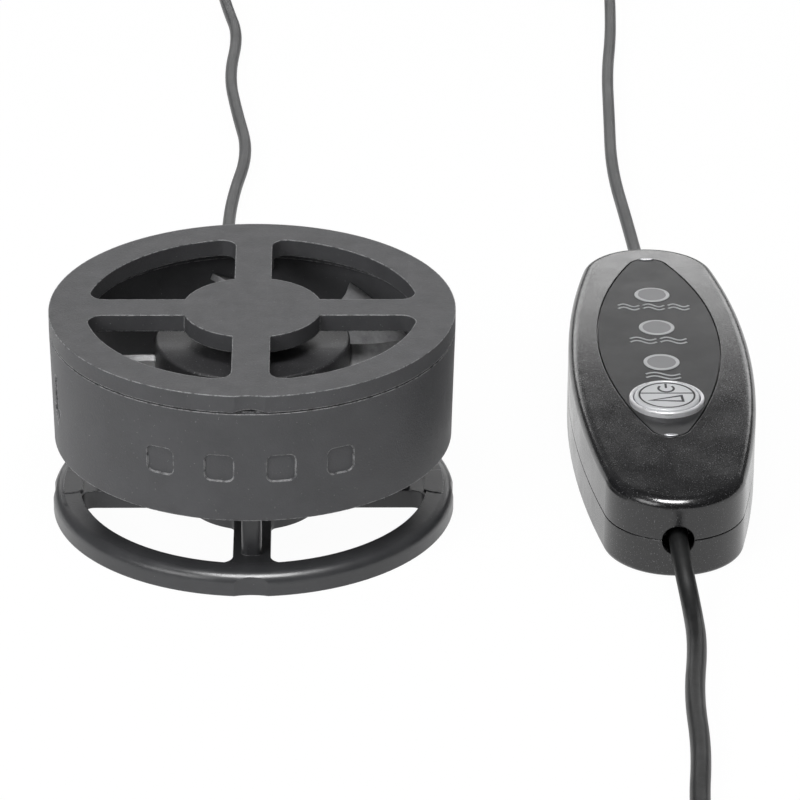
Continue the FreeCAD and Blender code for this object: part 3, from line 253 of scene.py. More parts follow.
def ramp(tree, value, low, high, out_low=0.0, out_high=1.0):
    links = {"Value": value, "From Min": low, "From Max": high, "To Min": out_low, "To Max": out_high}
    return put(tree, "ShaderNodeMapRange", links).outputs["Result"]


def mix_colours(tree, share, first, second):
    links = {0: share, MIX_COLOUR_INPUTS[0]: first, MIX_COLOUR_INPUTS[1]: second}
    return put(tree, "ShaderNodeMix", links, data_type="RGBA").outputs[MIX_COLOUR_OUTPUT]


def object_point(tree):
    return put(tree, "ShaderNodeTexCoord").outputs["Object"]


def noise(tree, scale, detail=2.0, roughness=0.5, vector=None):
    links = {"Vector": vector or object_point(tree), "Scale": scale, "Detail": detail,
             "Roughness": roughness}
    return put(tree, "ShaderNodeTexNoise", links).outputs["Fac"]


def moulded_grain_group():
    """Fine spark-eroded grain, tiny bright flecks in it and slow unevenness of the moulding."""
    group, source, result = new_group(
        "Moulded Grain",
        [("Spacing", "NodeSocketFloat", 0.0004), ("Fleck Share", "NodeSocketFloat", 0.02)],
        [("Height", "NodeSocketFloat"), ("Fleck", "NodeSocketFloat"), ("Mottle", "NodeSocketFloat")])
    fineness = maths(group, "DIVIDE", 1.0, source.outputs["Spacing"])
    pits = put(group, "ShaderNodeTexVoronoi", {"Vector": object_point(group), "Scale": fineness},
               feature="SMOOTH_F1")
    fine = noise(group, scale=maths(group, "MULTIPLY", fineness, 1.9), detail=3.0, roughness=0.6)
    height = maths(group, "ADD", maths(group, "MULTIPLY", pits.outputs["Distance"], 0.6), fine)
    group.links.new(height, result.inputs["Height"])
    spots = noise(group, scale=maths(group, "MULTIPLY", fineness, 1.3), detail=1.0, roughness=0.4)
    edge = maths(group, "SUBTRACT", 0.80, maths(group, "MULTIPLY", source.outputs["Fleck Share"], 4.0))
    fleck = put(group, "ShaderNodeMapRange", {"Value": spots, "From Min": edge,
                                              "From Max": maths(group, "ADD", edge, 0.05)})
    group.links.new(fleck.outputs["Result"], result.inputs["Fleck"])
    mottle = ramp(group, noise(group, scale=130.0, detail=3.0, roughness=0.6), low=0.3, high=0.7)
    group.links.new(mottle, result.inputs["Mottle"])
    return group


def worn_and_highlit_edge_group():
    """Edges that are rounded to the eye, and a broken pale mask along them: polished wear from
    handling, and on the housing also painted highlight along its edges.
    """
    group, source, result = new_group(
        "Worn And Highlit Edges",
        [("Radius", "NodeSocketFloat", 0.0003), ("Breaks", "NodeSocketFloat", 0.5)],
        [("Wear And Highlight", "NodeSocketFloat"), ("Normal", "NodeSocketVector")])
    rounded = put(group, "ShaderNodeBevel", {"Radius": source.outputs["Radius"]}, samples=6)
    group.links.new(rounded.outputs["Normal"], result.inputs["Normal"])
    plain = put(group, "ShaderNodeNewGeometry").outputs["Normal"]
    likeness = put(group, "ShaderNodeVectorMath", {0: rounded.outputs["Normal"], 1: plain},
                   operation="DOT_PRODUCT").outputs["Value"]
    edge = ramp(group, likeness, low=0.985, high=0.86)
    spots = noise(group, scale=900.0, detail=3.0, roughness=0.7)
    start = maths(group, "MULTIPLY", source.outputs["Breaks"], 0.62)
    broken = put(group, "ShaderNodeMapRange", {"Value": spots, "From Min": start,
                                               "From Max": maths(group, "ADD", start, 0.2)})
    wear = maths(group, "MULTIPLY", edge, broken.outputs["Result"], clamp=True)
    group.links.new(wear, result.inputs["Wear And Highlight"])
    return group


def dust_group():
    """Thin uneven dust that has settled on faces that look up."""
    group, source, result = new_group(
        "Settled Dust", [("Amount", "NodeSocketFloat", 0.1)], [("Dust", "NodeSocketFloat")])
    normal = put(group, "ShaderNodeNewGeometry").outputs["Normal"]
    upward = put(group, "ShaderNodeSeparateXYZ", {"Vector": normal}).outputs["Z"]
    facing = ramp(group, upward, low=0.35, high=1.0)
    cloud = ramp(group, noise(group, scale=210.0, detail=4.0, roughness=0.65), low=0.35, high=0.75)
    specks = ramp(group, noise(group, scale=2600.0, detail=1.0, roughness=0.5), low=0.66, high=0.74)
    amount = maths(group, "MULTIPLY", maths(group, "ADD", cloud, specks), source.outputs["Amount"])
    group.links.new(maths(group, "MULTIPLY", facing, amount, clamp=True), result.inputs["Dust"])
    return group


def plastic_colour_group():
    """Base colour with its unevenness, and paler flecks, edge wear and dust over it; the edge mask also
    paints highlights on the housing, and the dust input also carries painted light on the impeller
    blades.
    """
    group, source, result = new_group(
        "Plastic Colour",
        [("Colour", "NodeSocketColor", (0.1, 0.1, 0.1, 1.0)), ("Mottle", "NodeSocketFloat", 0.5),
         ("Unevenness", "NodeSocketFloat", 0.1), ("Fleck", "NodeSocketFloat", 0.0),
         ("Wear And Highlight", "NodeSocketFloat", 0.0), ("Dust", "NodeSocketFloat", 0.0),
         ("Pale", "NodeSocketColor", (0.5, 0.5, 0.5, 1.0))],
        [("Colour", "NodeSocketColor")])
    spread = maths(group, "MULTIPLY", maths(group, "SUBTRACT", source.outputs["Mottle"], 0.5),
                   source.outputs["Unevenness"])
    value = maths(group, "ADD", spread, 1.0)
    body = put(group, "ShaderNodeHueSaturation", {"Color": source.outputs["Colour"], "Value": value})
    pale = maths(group, "ADD", maths(group, "ADD", source.outputs["Fleck"], source.outputs["Wear And Highlight"]),
                 source.outputs["Dust"], clamp=True)
    colour = mix_colours(group, pale, body.outputs["Color"], source.outputs["Pale"])
    group.links.new(colour, result.inputs["Colour"])
    return group


def scratch_group():
    """Fine scratches and drawing lines of metal along one direction."""
    group, source, result = new_group(
        "Fine Scratches",
        [("Stretch", "NodeSocketVector", (1.0, 1.0, 1.0)), ("Fineness", "NodeSocketFloat", 3000.0)],
        [("Height", "NodeSocketFloat"), ("Polish", "NodeSocketFloat")])
    point = put(group, "ShaderNodeVectorMath", {0: object_point(group), 1: source.outputs["Stretch"]},
                operation="MULTIPLY").outputs["Vector"]
    lines = noise(group, scale=source.outputs["Fineness"], detail=4.0, roughness=0.7, vector=point)
    group.links.new(lines, result.inputs["Height"])
    bands = noise(group, scale=400.0, detail=2.0, roughness=0.5, vector=point)
    group.links.new(ramp(group, bands, low=0.3, high=0.7), result.inputs["Polish"])
    return group


GROUP_MAKERS = {
    "Moulded Grain": moulded_grain_group,
    "Worn And Highlit Edges": worn_and_highlit_edge_group,
    "Settled Dust": dust_group,
    "Plastic Colour": plastic_colour_group,
    "Fine Scratches": scratch_group,
}


def place_group(tree, name, links):
    """A shader node group in a tree, made the first time that it is asked for."""
    group = bpy.data.node_groups.get(name) or GROUP_MAKERS[name]()
    node = tree.nodes.new("ShaderNodeGroup")
    node.node_tree = group
    feed(tree, node, links)
    return node


# ---- materials -------------------------------------------------------------------------
def new_material(name):
    material = bpy.data.materials.new(name)
    material.use_nodes = True
    tree = material.node_tree
    tree.nodes.clear()
    output = tree.nodes.new("ShaderNodeOutputMaterial")
    shader = tree.nodes.new("ShaderNodeBsdfPrincipled")
    tree.links.new(shader.outputs["BSDF"], output.inputs["Surface"])
    return material, tree, shader


def opaque(colour):
    return (colour[0], colour[1], colour[2], 1.0)


def moulded_plastic(name, colour, roughness, spacing=0.00042, relief=0.00002, unevenness=0.12,
                    fleck=0.0, breaks=0.7, wear=0.35, dust=0.05, pale=(0.42, 0.42, 0.43),
                    rounding=None, specular=0.5, coat=0.0, film=None):
    """Moulded plastic with grain, rounded edges with wear, flecks and a trace of dust or other film;
    the pale edge mask doubles as painted highlight on the housing, and the impeller's film is partly
    painted light.
    """
    sizes = bpy.context.scene.wave_pump_sizes
    material, tree, shader = new_material(name)
    grain = place_group(tree, "Moulded Grain", {"Spacing": spacing, "Fleck Share": fleck})
    edges = place_group(tree, "Worn And Highlit Edges", {
        "Radius": rounding or sizes.edge_rounding, "Breaks": breaks})
    settled = place_group(tree, "Settled Dust", {"Amount": dust})
    # Pale edge mask scaled by wear: edge wear, and painted highlight where it is set strong.
    edge_wear_and_highlight = maths(tree, "MULTIPLY", edges.outputs["Wear And Highlight"], wear)
    flecks = maths(tree, "MULTIPLY", grain.outputs["Fleck"], 0.5 if fleck > 0 else 0.0)
    # Dust plus any film; on the impeller blades the film is partly painted light.
    dust_film_and_painted_light = settled.outputs["Dust"]
    if film is not None:
        dust_film_and_painted_light = maths(tree, "ADD", dust_film_and_painted_light, film(tree))
    paint = place_group(tree, "Plastic Colour", {
        "Colour": opaque(colour), "Mottle": grain.outputs["Mottle"], "Unevenness": unevenness,
        "Fleck": flecks, "Wear And Highlight": edge_wear_and_highlight, "Dust": dust_film_and_painted_light, "Pale": opaque(pale)})
    tree.links.new(paint.outputs["Colour"], shader.inputs["Base Color"])
    rough = ramp(tree, grain.outputs["Mottle"], low=0.0, high=1.0,
                 out_low=roughness - 0.04, out_high=roughness + 0.05)
    tree.links.new(rough, shader.inputs["Roughness"])
    shader.inputs["Specular IOR Level"].default_value = specular
    shader.inputs["Coat Weight"].default_value = coat
    shader.inputs["Coat Roughness"].default_value = 0.05
    bump = put(tree, "ShaderNodeBump", {"Height": grain.outputs["Height"], "Distance": relief,
                                        "Strength": 1.0, "Normal": edges.outputs["Normal"]})
    tree.links.new(bump.outputs["Normal"], shader.inputs["Normal"])
    return material


def bare_metal(name, colour, roughness, stretch=(1.0, 1.0, 1.0), fineness=3000.0, relief=0.000004,
               breaks=0.6, rounding=None, metallic=1.0):
    """Drawn, pressed or plated metal with fine lines and brighter edges."""
    sizes = bpy.context.scene.wave_pump_sizes
    material, tree, shader = new_material(name)
    lines = place_group(tree, "Fine Scratches", {"Stretch": stretch, "Fineness": fineness})
    edges = place_group(tree, "Worn And Highlit Edges", {
        "Radius": rounding or sizes.edge_rounding, "Breaks": breaks})
    paint = place_group(tree, "Plastic Colour", {
        "Colour": opaque(colour), "Mottle": lines.outputs["Polish"], "Unevenness": 0.14,
        "Wear And Highlight": maths(tree, "MULTIPLY", edges.outputs["Wear And Highlight"], 0.4),
        "Pale": opaque([0.5 + 0.5 * part for part in colour])})
    tree.links.new(paint.outputs["Colour"], shader.inputs["Base Color"])
    shader.inputs["Metallic"].default_value = metallic
    rough = ramp(tree, lines.outputs["Polish"], low=0.0, high=1.0,
                 out_low=roughness - 0.05, out_high=roughness + 0.08)
    tree.links.new(rough, shader.inputs["Roughness"])
    bump = put(tree, "ShaderNodeBump", {"Height": lines.outputs["Height"], "Distance": relief,
                                        "Strength": 1.0, "Normal": edges.outputs["Normal"]})
    tree.links.new(bump.outputs["Normal"], shader.inputs["Normal"])
    return material


def give(material, *pieces):
    """Put a material on CAD pieces, by name, or on new pieces."""
    for piece in pieces:
        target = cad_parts[piece] if isinstance(piece, str) else piece
        if target.material_slots:
            for place in target.material_slots:
                place.material = material
        else:
            target.data.materials.append(material)


# ---- mesh helpers ----------------------------------------------------------------------
def mesh_piece(name, work, body, material):
    """Finish a bmesh as a piece that rides on a body."""
    bmesh.ops.recalc_face_normals(work, faces=work.faces)
    data = bpy.data.meshes.new(name)
    work.to_mesh(data)
    work.free()
    piece = bpy.data.objects.new(name, data)
    bpy.context.scene.collection.objects.link(piece)
    data.shade_smooth()
    data.set_sharp_from_angle(angle=math.radians(SHARP_ANGLE_DEGREES))
    give(material, piece)
    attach(piece, body)
    return piece


def crown_level(y):
    """Height of the controller's gently crowned face."""
    return CONTROLLER_TOP - CROWN_RADIUS + math.sqrt(CROWN_RADIUS ** 2 - (y - CONTROLLER_Y) ** 2)


def ribbon(work, points, width, level, height, closed=False):
    """Raised line along points on a face whose height at y is level(y)."""
    count = len(points)
    rows = []
    for number, point in enumerate(points):
        before = points[number - 1] if number > 0 or closed else point
        after = points[(number + 1) % count] if number < count - 1 or closed else point
        entering = Vector((point[0] - before[0], point[1] - before[1]))
        leaving = Vector((after[0] - point[0], after[1] - point[1]))
        if entering.length < 1e-9:
            entering = leaving.copy()
        if leaving.length < 1e-9:
            leaving = entering.copy()
        entering.normalize()
        leaving.normalize()
        along = (entering + leaving).normalized()
        across = Vector((-along.y, along.x))
        mitre = max(0.5, across.dot(Vector((-entering.y, entering.x))))
        reach = across * (width / 2 / mitre)
        row = []
        for side in (1, -1):
            x = point[0] + side * reach.x
            y = point[1] + side * reach.y
            base = level(y)
            row += [work.verts.new((x, y, base - height)), work.verts.new((x, y, base + height))]
        rows.append(row)
    pairs = list(zip(rows, rows[1:]))
    if closed:
        pairs.append((rows[-1], rows[0]))
    for first, second in pairs:
        for low, high in ((0, 1), (1, 3), (3, 2), (2, 0)):
            work.faces.new((first[low], first[high], second[high], second[low]))
    if not closed:
        for row in (rows[0], rows[-1]):
            work.faces.new((row[0], row[1], row[3], row[2]))


def plate(work, outline, level, height):
    """Raised flat shape with the given outline."""
    low = [work.verts.new((x, y, level(y) - height)) for x, y in outline]
    high = [work.verts.new((x, y, level(y) + height)) for x, y in outline]
    work.faces.new(low)
    work.faces.new(high)
    for number in range(len(outline)):
        following = (number + 1) % len(outline)
        work.faces.new((low[number], low[following], high[following], high[number]))


def arc_points(x, y, radius, start, end, count):
    """Points on a circle from one angle to another, in degrees."""
    angles = [math.radians(start + (end - start) * number / count) for number in range(count + 1)]
    return [(x + radius * math.cos(angle), y + radius * math.sin(angle)) for angle in angles]


# ---- cords -----------------------------------------------------------------------------
def coil_points(centre, diameter, start_angle, direction, turns):
    """Points of the wound turns, from the outermost lower turn inwards and out again on top."""
    points = []
    for number in range(int(turns * POINTS_PER_TURN) + 1):
        wound = number / POINTS_PER_TURN
        for first, second in zip(COIL_STATIONS, COIL_STATIONS[1:]):
            if first[0] <= wound <= second[0]:
                share = (wound - first[0]) / (second[0] - first[0])
                break
        radius = diameter * (first[1] + share * (second[1] - first[1]))
        lift = diameter * (0.5 + first[2] + share * (second[2] - first[2]))
        angle = math.radians(start_angle + direction * 360.0 * wound)
        points.append((centre[0] + radius * math.cos(angle), centre[1] + radius * math.sin(angle),
                       COIL_FLOOR_GAP + lift))
    return points


def cord_curve(name, points, diameter, material, replaced):
    """One smooth round cord drawn towards its points."""
    data = bpy.data.curves.new(name, "CURVE")
    data.dimensions = "3D"
    spline = data.splines.new("NURBS")
    spline.points.add(len(points) - 1)
    for place, point in zip(spline.points, points):
        place.co = (*point, 1.0)
    spline.order_u = 3
    spline.use_endpoint_u = True
    data.resolution_u = 8
    data.bevel_depth = diameter / 2
    data.bevel_resolution = 5
    data.use_fill_caps = True
    cord = bpy.data.objects.new(name, data)
    bpy.context.scene.collection.objects.link(cord)
    data.materials.append(material)
    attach(cord, "pump")
    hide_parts(*replaced)
    return cord


def cord_material(name, colour):
    """Soft PVC jacket, satin with faint scuffs."""
    return moulded_plastic(name, colour, roughness=0.42, spacing=0.0009, relief=0.000012,
                           unevenness=0.22, fleck=0.0, dust=0.06, wear=0.0, pale=(0.30, 0.30, 0.30),
                           specular=0.5)


# ---- operators -------------------------------------------------------------------------
class WAVEPUMP_OT_stage(bpy.types.Operator):
    """Set up the floor, the soft studio light and the camera"""
    bl_idname = "wave_pump.stage"
    bl_label = "Stage"

    def execute(self, context):
        self.floor()
        self.surroundings(context.scene)
        self.lamps()
        self.camera(context.scene)
        return {"FINISHED"}

    def floor(self):
        half = FLOOR_HALF_WIDTH
        work = bmesh.new()
        corners = [work.verts.new((x, y, 0.0)) for x, y in ((-half, -half), (half, -half),
                                                            (half, half), (-half, half))]
        work.faces.new(corners)
        data = bpy.data.meshes.new("studio_floor")
        work.to_mesh(data)
        work.free()
        floor = bpy.data.objects.new("studio_floor", data)
        bpy.context.scene.collection.objects.link(floor)
        material = bpy.data.materials.new("Studio floor")
        material.use_nodes = True
        tree = material.node_tree
        tree.nodes.clear()
        output = tree.nodes.new("ShaderNodeOutputMaterial")
        matte = put(tree, "ShaderNodeBsdfDiffuse", {"Color": FLOOR_GREY})
        glow = put(tree, "ShaderNodeEmission", {"Color": WHITE, "Strength": FLOOR_GLOW})
        path = tree.nodes.new("ShaderNodeLightPath")
        seen = maths(tree, "ADD", path.outputs["Is Camera Ray"], path.outputs["Is Glossy Ray"])
        seen = maths(tree, "ADD", seen, path.outputs["Is Transmission Ray"], clamp=True)
        share = maths(tree, "MULTIPLY", seen, FLOOR_GLOW_SHARE)
        mix = put(tree, "ShaderNodeMixShader", {0: share, 1: matte.outputs[0], 2: glow.outputs[0]})
        tree.links.new(mix.outputs[0], output.inputs["Surface"])
        data.materials.append(material)

    def surroundings(self, scene):
        world = bpy.data.worlds.new("Studio")
        scene.world = world
        world.use_nodes = True
        tree = world.node_tree
        tree.nodes.clear()
        output = tree.nodes.new("ShaderNodeOutputWorld")
        path = tree.nodes.new("ShaderNodeLightPath")
        strength = ramp(tree, path.outputs["Is Glossy Ray"], low=0.0, high=1.0,
                        out_low=ROOM_LIGHT, out_high=ROOM_LIGHT_IN_GLOSS)
        room = put(tree, "ShaderNodeBackground", {"Color": WHITE, "Strength": strength})
        white = put(tree, "ShaderNodeBackground", {"Color": WHITE, "Strength": 1.0})
        seen = maths(tree, "ADD", path.outputs["Is Camera Ray"], path.outputs["Is Transmission Ray"],
                     clamp=True)
        mix = put(tree, "ShaderNodeMixShader", {0: seen, 1: room.outputs[0], 2: white.outputs[0]})
        tree.links.new(mix.outputs[0], output.inputs["Surface"])

    def lamps(self):
        aim = Vector(SOFTBOX_AIM)
        for name, place, width, height, power, lights_matt in SOFTBOXES:
            data = bpy.data.lights.new(name, "AREA")
            data.shape = "RECTANGLE"
            data.size = width
            data.size_y = height
            data.energy = power
            lamp = bpy.data.objects.new(name, data)
            lamp.location = place
            lamp.rotation_euler = (aim - Vector(place)).to_track_quat("-Z", "Y").to_euler()
            lamp.visible_diffuse = lights_matt
            bpy.context.scene.collection.objects.link(lamp)

    def camera(self, scene):
        data = bpy.data.cameras.new("camera")
        data.lens = CAMERA_LENS_MM
        data.sensor_width = CAMERA_SENSOR_MM
        camera = bpy.data.objects.new("camera", data)
        camera.location = CAMERA_PLACE
        camera.rotation_euler = [math.radians(angle) for angle in CAMERA_TURN_DEGREES]
        scene.collection.objects.link(camera)
        scene.camera = camera
        scene.view_settings.view_transform = "Standard"


class WAVEPUMP_OT_housing(bpy.types.Operator):
    """Finish the pump housing, the grille over it and the gland of its cord"""
    bl_idname = "wave_pump.housing"
    bl_label = "Housing and grille"

    def execute(self, context):
        sizes = context.scene.wave_pump_sizes
        colours = context.scene.wave_pump_colours
        # Strong pale edge mask on housing and grille: partly wear, partly painted highlight along the
        # seam, the grille's front edge and the bottom edge.
        give(moulded_plastic("Housing plastic", colours.housing, roughness=0.47,
                             spacing=sizes.grain_spacing, relief=0.000070, unevenness=0.26, fleck=0.010,
                             breaks=0.60, wear=1.0, dust=0.08, pale=(0.55, 0.55, 0.56),
                             rounding=0.00042), *HOUSING_PIECES)
        give(moulded_plastic("Gland rubber", (0.022, 0.022, 0.023), roughness=0.6, spacing=0.0003,
                             relief=0.00001, wear=0.1), "pump_gland")
        return {"FINISHED"}


class WAVEPUMP_OT_stand(bpy.types.Operator):
    """Finish the ring stand and the screws that hold it"""
    bl_idname = "wave_pump.stand"
    bl_label = "Stand"

    def execute(self, context):
        sizes = context.scene.wave_pump_sizes
        colours = context.scene.wave_pump_colours
        give(moulded_plastic("Stand plastic", colours.stand, roughness=0.32,
                             spacing=sizes.grain_spacing * 1.1, relief=0.000016, unevenness=0.18,
                             fleck=0.004, breaks=0.6, wear=0.7, dust=0.03, specular=0.6),
             "base_stand")
        give(bare_metal("Screw steel", (0.56, 0.56, 0.58), roughness=0.28, stretch=(1, 1, 0.2),
                        fineness=2500.0), *SCREW_PIECES)
        return {"FINISHED"}


class WAVEPUMP_OT_impeller(bpy.types.Operator):
    """Finish the impeller and the motor inside it"""
    bl_idname = "wave_pump.impeller"
    bl_label = "Impeller and motor"

    def execute(self, context):
        sizes = context.scene.wave_pump_sizes
        colours = context.scene.wave_pump_colours
        # The blades get a pale film that is partly painted light, making them brighter than the hub.
        give(moulded_plastic("Impeller plastic", colours.impeller, roughness=0.32,
                             spacing=sizes.grain_spacing, relief=0.000028, unevenness=0.25, fleck=0.03,
                             breaks=0.5, wear=0.8, dust=0.03, film=self.chalk_and_painted_light_on_blades),
             "impeller", "bearing_cap")
        give(bare_metal("Shaft steel", (0.66, 0.66, 0.68), roughness=0.12, stretch=(1, 1, 6),
                        fineness=1500.0), "rotor_shaft")
        give(bare_metal("Yoke steel", (0.42, 0.42, 0.43), roughness=0.35, stretch=(1, 1, 4),
                        fineness=1200.0), "rotor_yoke")
        give(moulded_plastic("Magnet ferrite", (0.035, 0.034, 0.036), roughness=0.55, spacing=0.0002,
                             relief=0.00002, fleck=0.02, wear=0.3), "rotor_magnet")
        give(bare_metal("Bearing bronze", (0.55, 0.36, 0.16), roughness=0.38, stretch=(1, 1, 1),
                        fineness=5000.0, relief=0.00001),
             *BEARING_PIECES)
        give(moulded_plastic("Washer plastic", (0.62, 0.60, 0.54), roughness=0.38), "thrust_washer")
        give(self.laminated_steel(), "stator_core")
        give(moulded_plastic("Insulator plastic", (0.55, 0.52, 0.44), roughness=0.5),
             "stator_insulator")
        give(self.wound_copper(), "stator_windings")
        give(moulded_plastic("Lead jacket", (0.03, 0.03, 0.032), roughness=0.45), "motor_lead")
        return {"FINISHED"}

    def chalk_and_painted_light_on_blades(self, tree):
        """Pale film on the blades but not on the turning hub: partly chalk film that water leaves,
        partly painted light that makes the blades brighter than the hub.
        """
        parts = put(tree, "ShaderNodeSeparateXYZ", {"Vector": object_point(tree)})
        squares = [maths(tree, "POWER", maths(tree, "ABSOLUTE", parts.outputs[axis]), 2.0)
                   for axis in ("X", "Y")]
        distance = maths(tree, "SQRT", maths(tree, "ADD", *squares))
        cloud = ramp(tree, noise(tree, scale=420.0, detail=4.0, roughness=0.65), low=0.3, high=0.7,
                     out_low=0.45, out_high=0.95)
        return maths(tree, "MULTIPLY", ramp(tree, distance, low=0.0194, high=0.0198), cloud)

    def stripes(self, tree, direction, scale):
        node = put(tree, "ShaderNodeTexWave", {"Vector": object_point(tree), "Scale": scale,
                                               "Distortion": 0.3}, bands_direction=direction)
        return node.outputs["Fac"]

    def laminated_steel(self):
        """Stack of thin sheets, seen as fine lines round its sides."""
        material = bare_metal("Core steel", (0.38, 0.38, 0.40), roughness=0.4)
        tree = material.node_tree
        bump = [node for node in tree.nodes if node.type == "BUMP"][0]
        tree.links.new(self.stripes(tree, "Z", 600.0), bump.inputs["Height"])
        bump.inputs["Distance"].default_value = 0.00006
        return material

    def wound_copper(self):
        """Enamelled wire, laid in even turns."""
        material = bare_metal("Winding copper", (0.72, 0.30, 0.12), roughness=0.3)
        tree = material.node_tree
        bump = [node for node in tree.nodes if node.type == "BUMP"][0]
        tree.links.new(self.stripes(tree, "X", 900.0), bump.inputs["Height"])
        bump.inputs["Distance"].default_value = 0.00015
        return material


class WAVEPUMP_OT_controller(bpy.types.Operator):
    """Finish the controller's case and what is inside it"""
    bl_idname = "wave_pump.controller"
    bl_label = "Controller case"

    def execute(self, context):
        colours = context.scene.wave_pump_colours
        give(moulded_plastic("Controller plastic", colours.controller, roughness=0.19, spacing=0.00030,
                             relief=0.000009, unevenness=0.3, fleck=0.031, breaks=0.75, wear=0.20,
                             dust=0.07, pale=(0.30, 0.30, 0.31), specular=0.75), *CASE_PIECES)
        give(moulded_plastic("Small mouldings", (0.020, 0.020, 0.021), roughness=0.45),
             *SMALL_MOULDINGS)
        give(moulded_plastic("Chip plastic", (0.016, 0.016, 0.018), roughness=0.5, spacing=0.00015,
                             relief=0.00001, unevenness=0.3), *CHIP_PIECES)
        give(self.circuit_board(), *BOARD_PIECES)
        return {"FINISHED"}

    def circuit_board(self):
        """Green solder resist over copper tracks."""
        material = moulded_plastic("Board laminate", (0.012, 0.11, 0.035), roughness=0.3, coat=0.4)
        tree = material.node_tree
        cells = put(tree, "ShaderNodeTexVoronoi", {"Vector": object_point(tree), "Scale": 420.0},
                    distance="MANHATTAN")
        tracks = ramp(tree, cells.outputs["Distance"], low=0.30, high=0.34)
        paint = [node for node in tree.nodes if node.type == "GROUP"
                 and node.node_tree.name == "Plastic Colour"][0]
        tree.links.new(maths(tree, "MULTIPLY", tracks, 0.10), paint.inputs["Fleck"])
        paint.inputs["Pale"].default_value = (0.30, 0.55, 0.18, 1.0)
        return material


class WAVEPUMP_OT_panel(bpy.types.Operator):
    """Make the face panel's finish, lamp windows, rings and printed speed marks"""
    bl_idname = "wave_pump.panel"
    bl_label = "Face panel"

    def execute(self, context):
        sizes = context.scene.wave_pump_sizes
        colours = context.scene.wave_pump_colours
        give(moulded_plastic("Panel film", colours.panel, roughness=0.42, spacing=0.00022,
                             relief=0.000012, unevenness=0.14, fleck=0.004, breaks=0.9, wear=0.3,
                             dust=0.03), "face_panel")
        give(moulded_plastic("Lamp window", colours.window, roughness=0.30, spacing=0.0003,
                             relief=0.000006, unevenness=0.12, wear=0.1, dust=0.0, pale=(0.6, 0.6, 0.6),
                             specular=0.3), *LAMP_PIECES)
        give(moulded_plastic("Lamp lens", (0.55, 0.56, 0.55), roughness=0.18, wear=0.0),
             "indicator_leds")
        ink = moulded_plastic("Light print", colours.light_print, roughness=0.45, spacing=0.00018,
                              relief=0.000006, unevenness=0.25, wear=0.0, dust=0.0)
        self.lamp_rings(moulded_plastic("Ring print", colours.ring_print, roughness=0.4,
                                        spacing=0.00018, relief=0.000006, unevenness=0.2, wear=0.0,
                                        dust=0.0))
        self.speed_marks(ink, sizes)
        # Painted highlights at the panel's two tips.
        self.painted_tip_highlights()
        return {"FINISHED"}

    def lamp_places(self):
        for node in LAMP_PIECES:
            low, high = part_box(node)
            yield node, (low + high) / 2

    def lamp_rings(self, ink):
        for node, middle in self.lamp_places():
            work = bmesh.new()
            points = arc_points(middle.x, middle.y, LAMP_RING_RADIUS, 0.0, 360.0, LAMP_RING_STEPS)[:-1]
            ribbon(work, points, LAMP_RING_WIDTH, crown_level, LAMP_RING_HEIGHT, closed=True)
            mesh_piece(node.replace("window", "ring"), work, "pump", ink)

    def speed_marks(self, ink, sizes):
        """Under each lamp, wave crests: three for high, two for middle, one for low."""
        for (node, middle), count, length in zip(self.lamp_places(), CREST_COUNTS, CREST_LENGTHS):
            work = bmesh.new()
            y = middle.y - CREST_DROP
            for number in range(count):
                x = middle.x + (number - (count - 1) / 2) * (length + CREST_GAP)
                for row in CREST_ROWS:
                    crest = [(x + (step / CREST_STEPS - 0.5) * length,
                              y + row + CREST_HEIGHT * math.sin(2 * math.pi * step / CREST_STEPS))
                             for step in range(CREST_STEPS + 1)]
                    ribbon(work, crest, sizes.print_line, crown_level, sizes.print_height)
            mesh_piece(node.replace("lamp_window", "speed_mark"), work, "pump", ink)

    def painted_tip_highlights(self):
        """Bright metal nibs at the panel's two tips: painted highlight where the tips catch the light.
        """
        metal = bare_metal("Tip highlight metal", (0.55, 0.55, 0.57), roughness=0.32)
        for name, y in zip(("panel_tip_highlight_front", "panel_tip_highlight_rear"), PANEL_TIPS_Y):
            work = bmesh.new()
            outline = [(CONTROLLER_X + TIP_HIGHLIGHT_HALF_LENGTH * math.cos(math.radians(angle)),
                        y + TIP_HIGHLIGHT_HALF_WIDTH * math.sin(math.radians(angle)))
                       for angle in range(0, 360, TIP_HIGHLIGHT_STEP_DEGREES)]
            plate(work, outline, crown_level, TIP_HIGHLIGHT_HEIGHT)
            mesh_piece(name, work, "pump", metal)


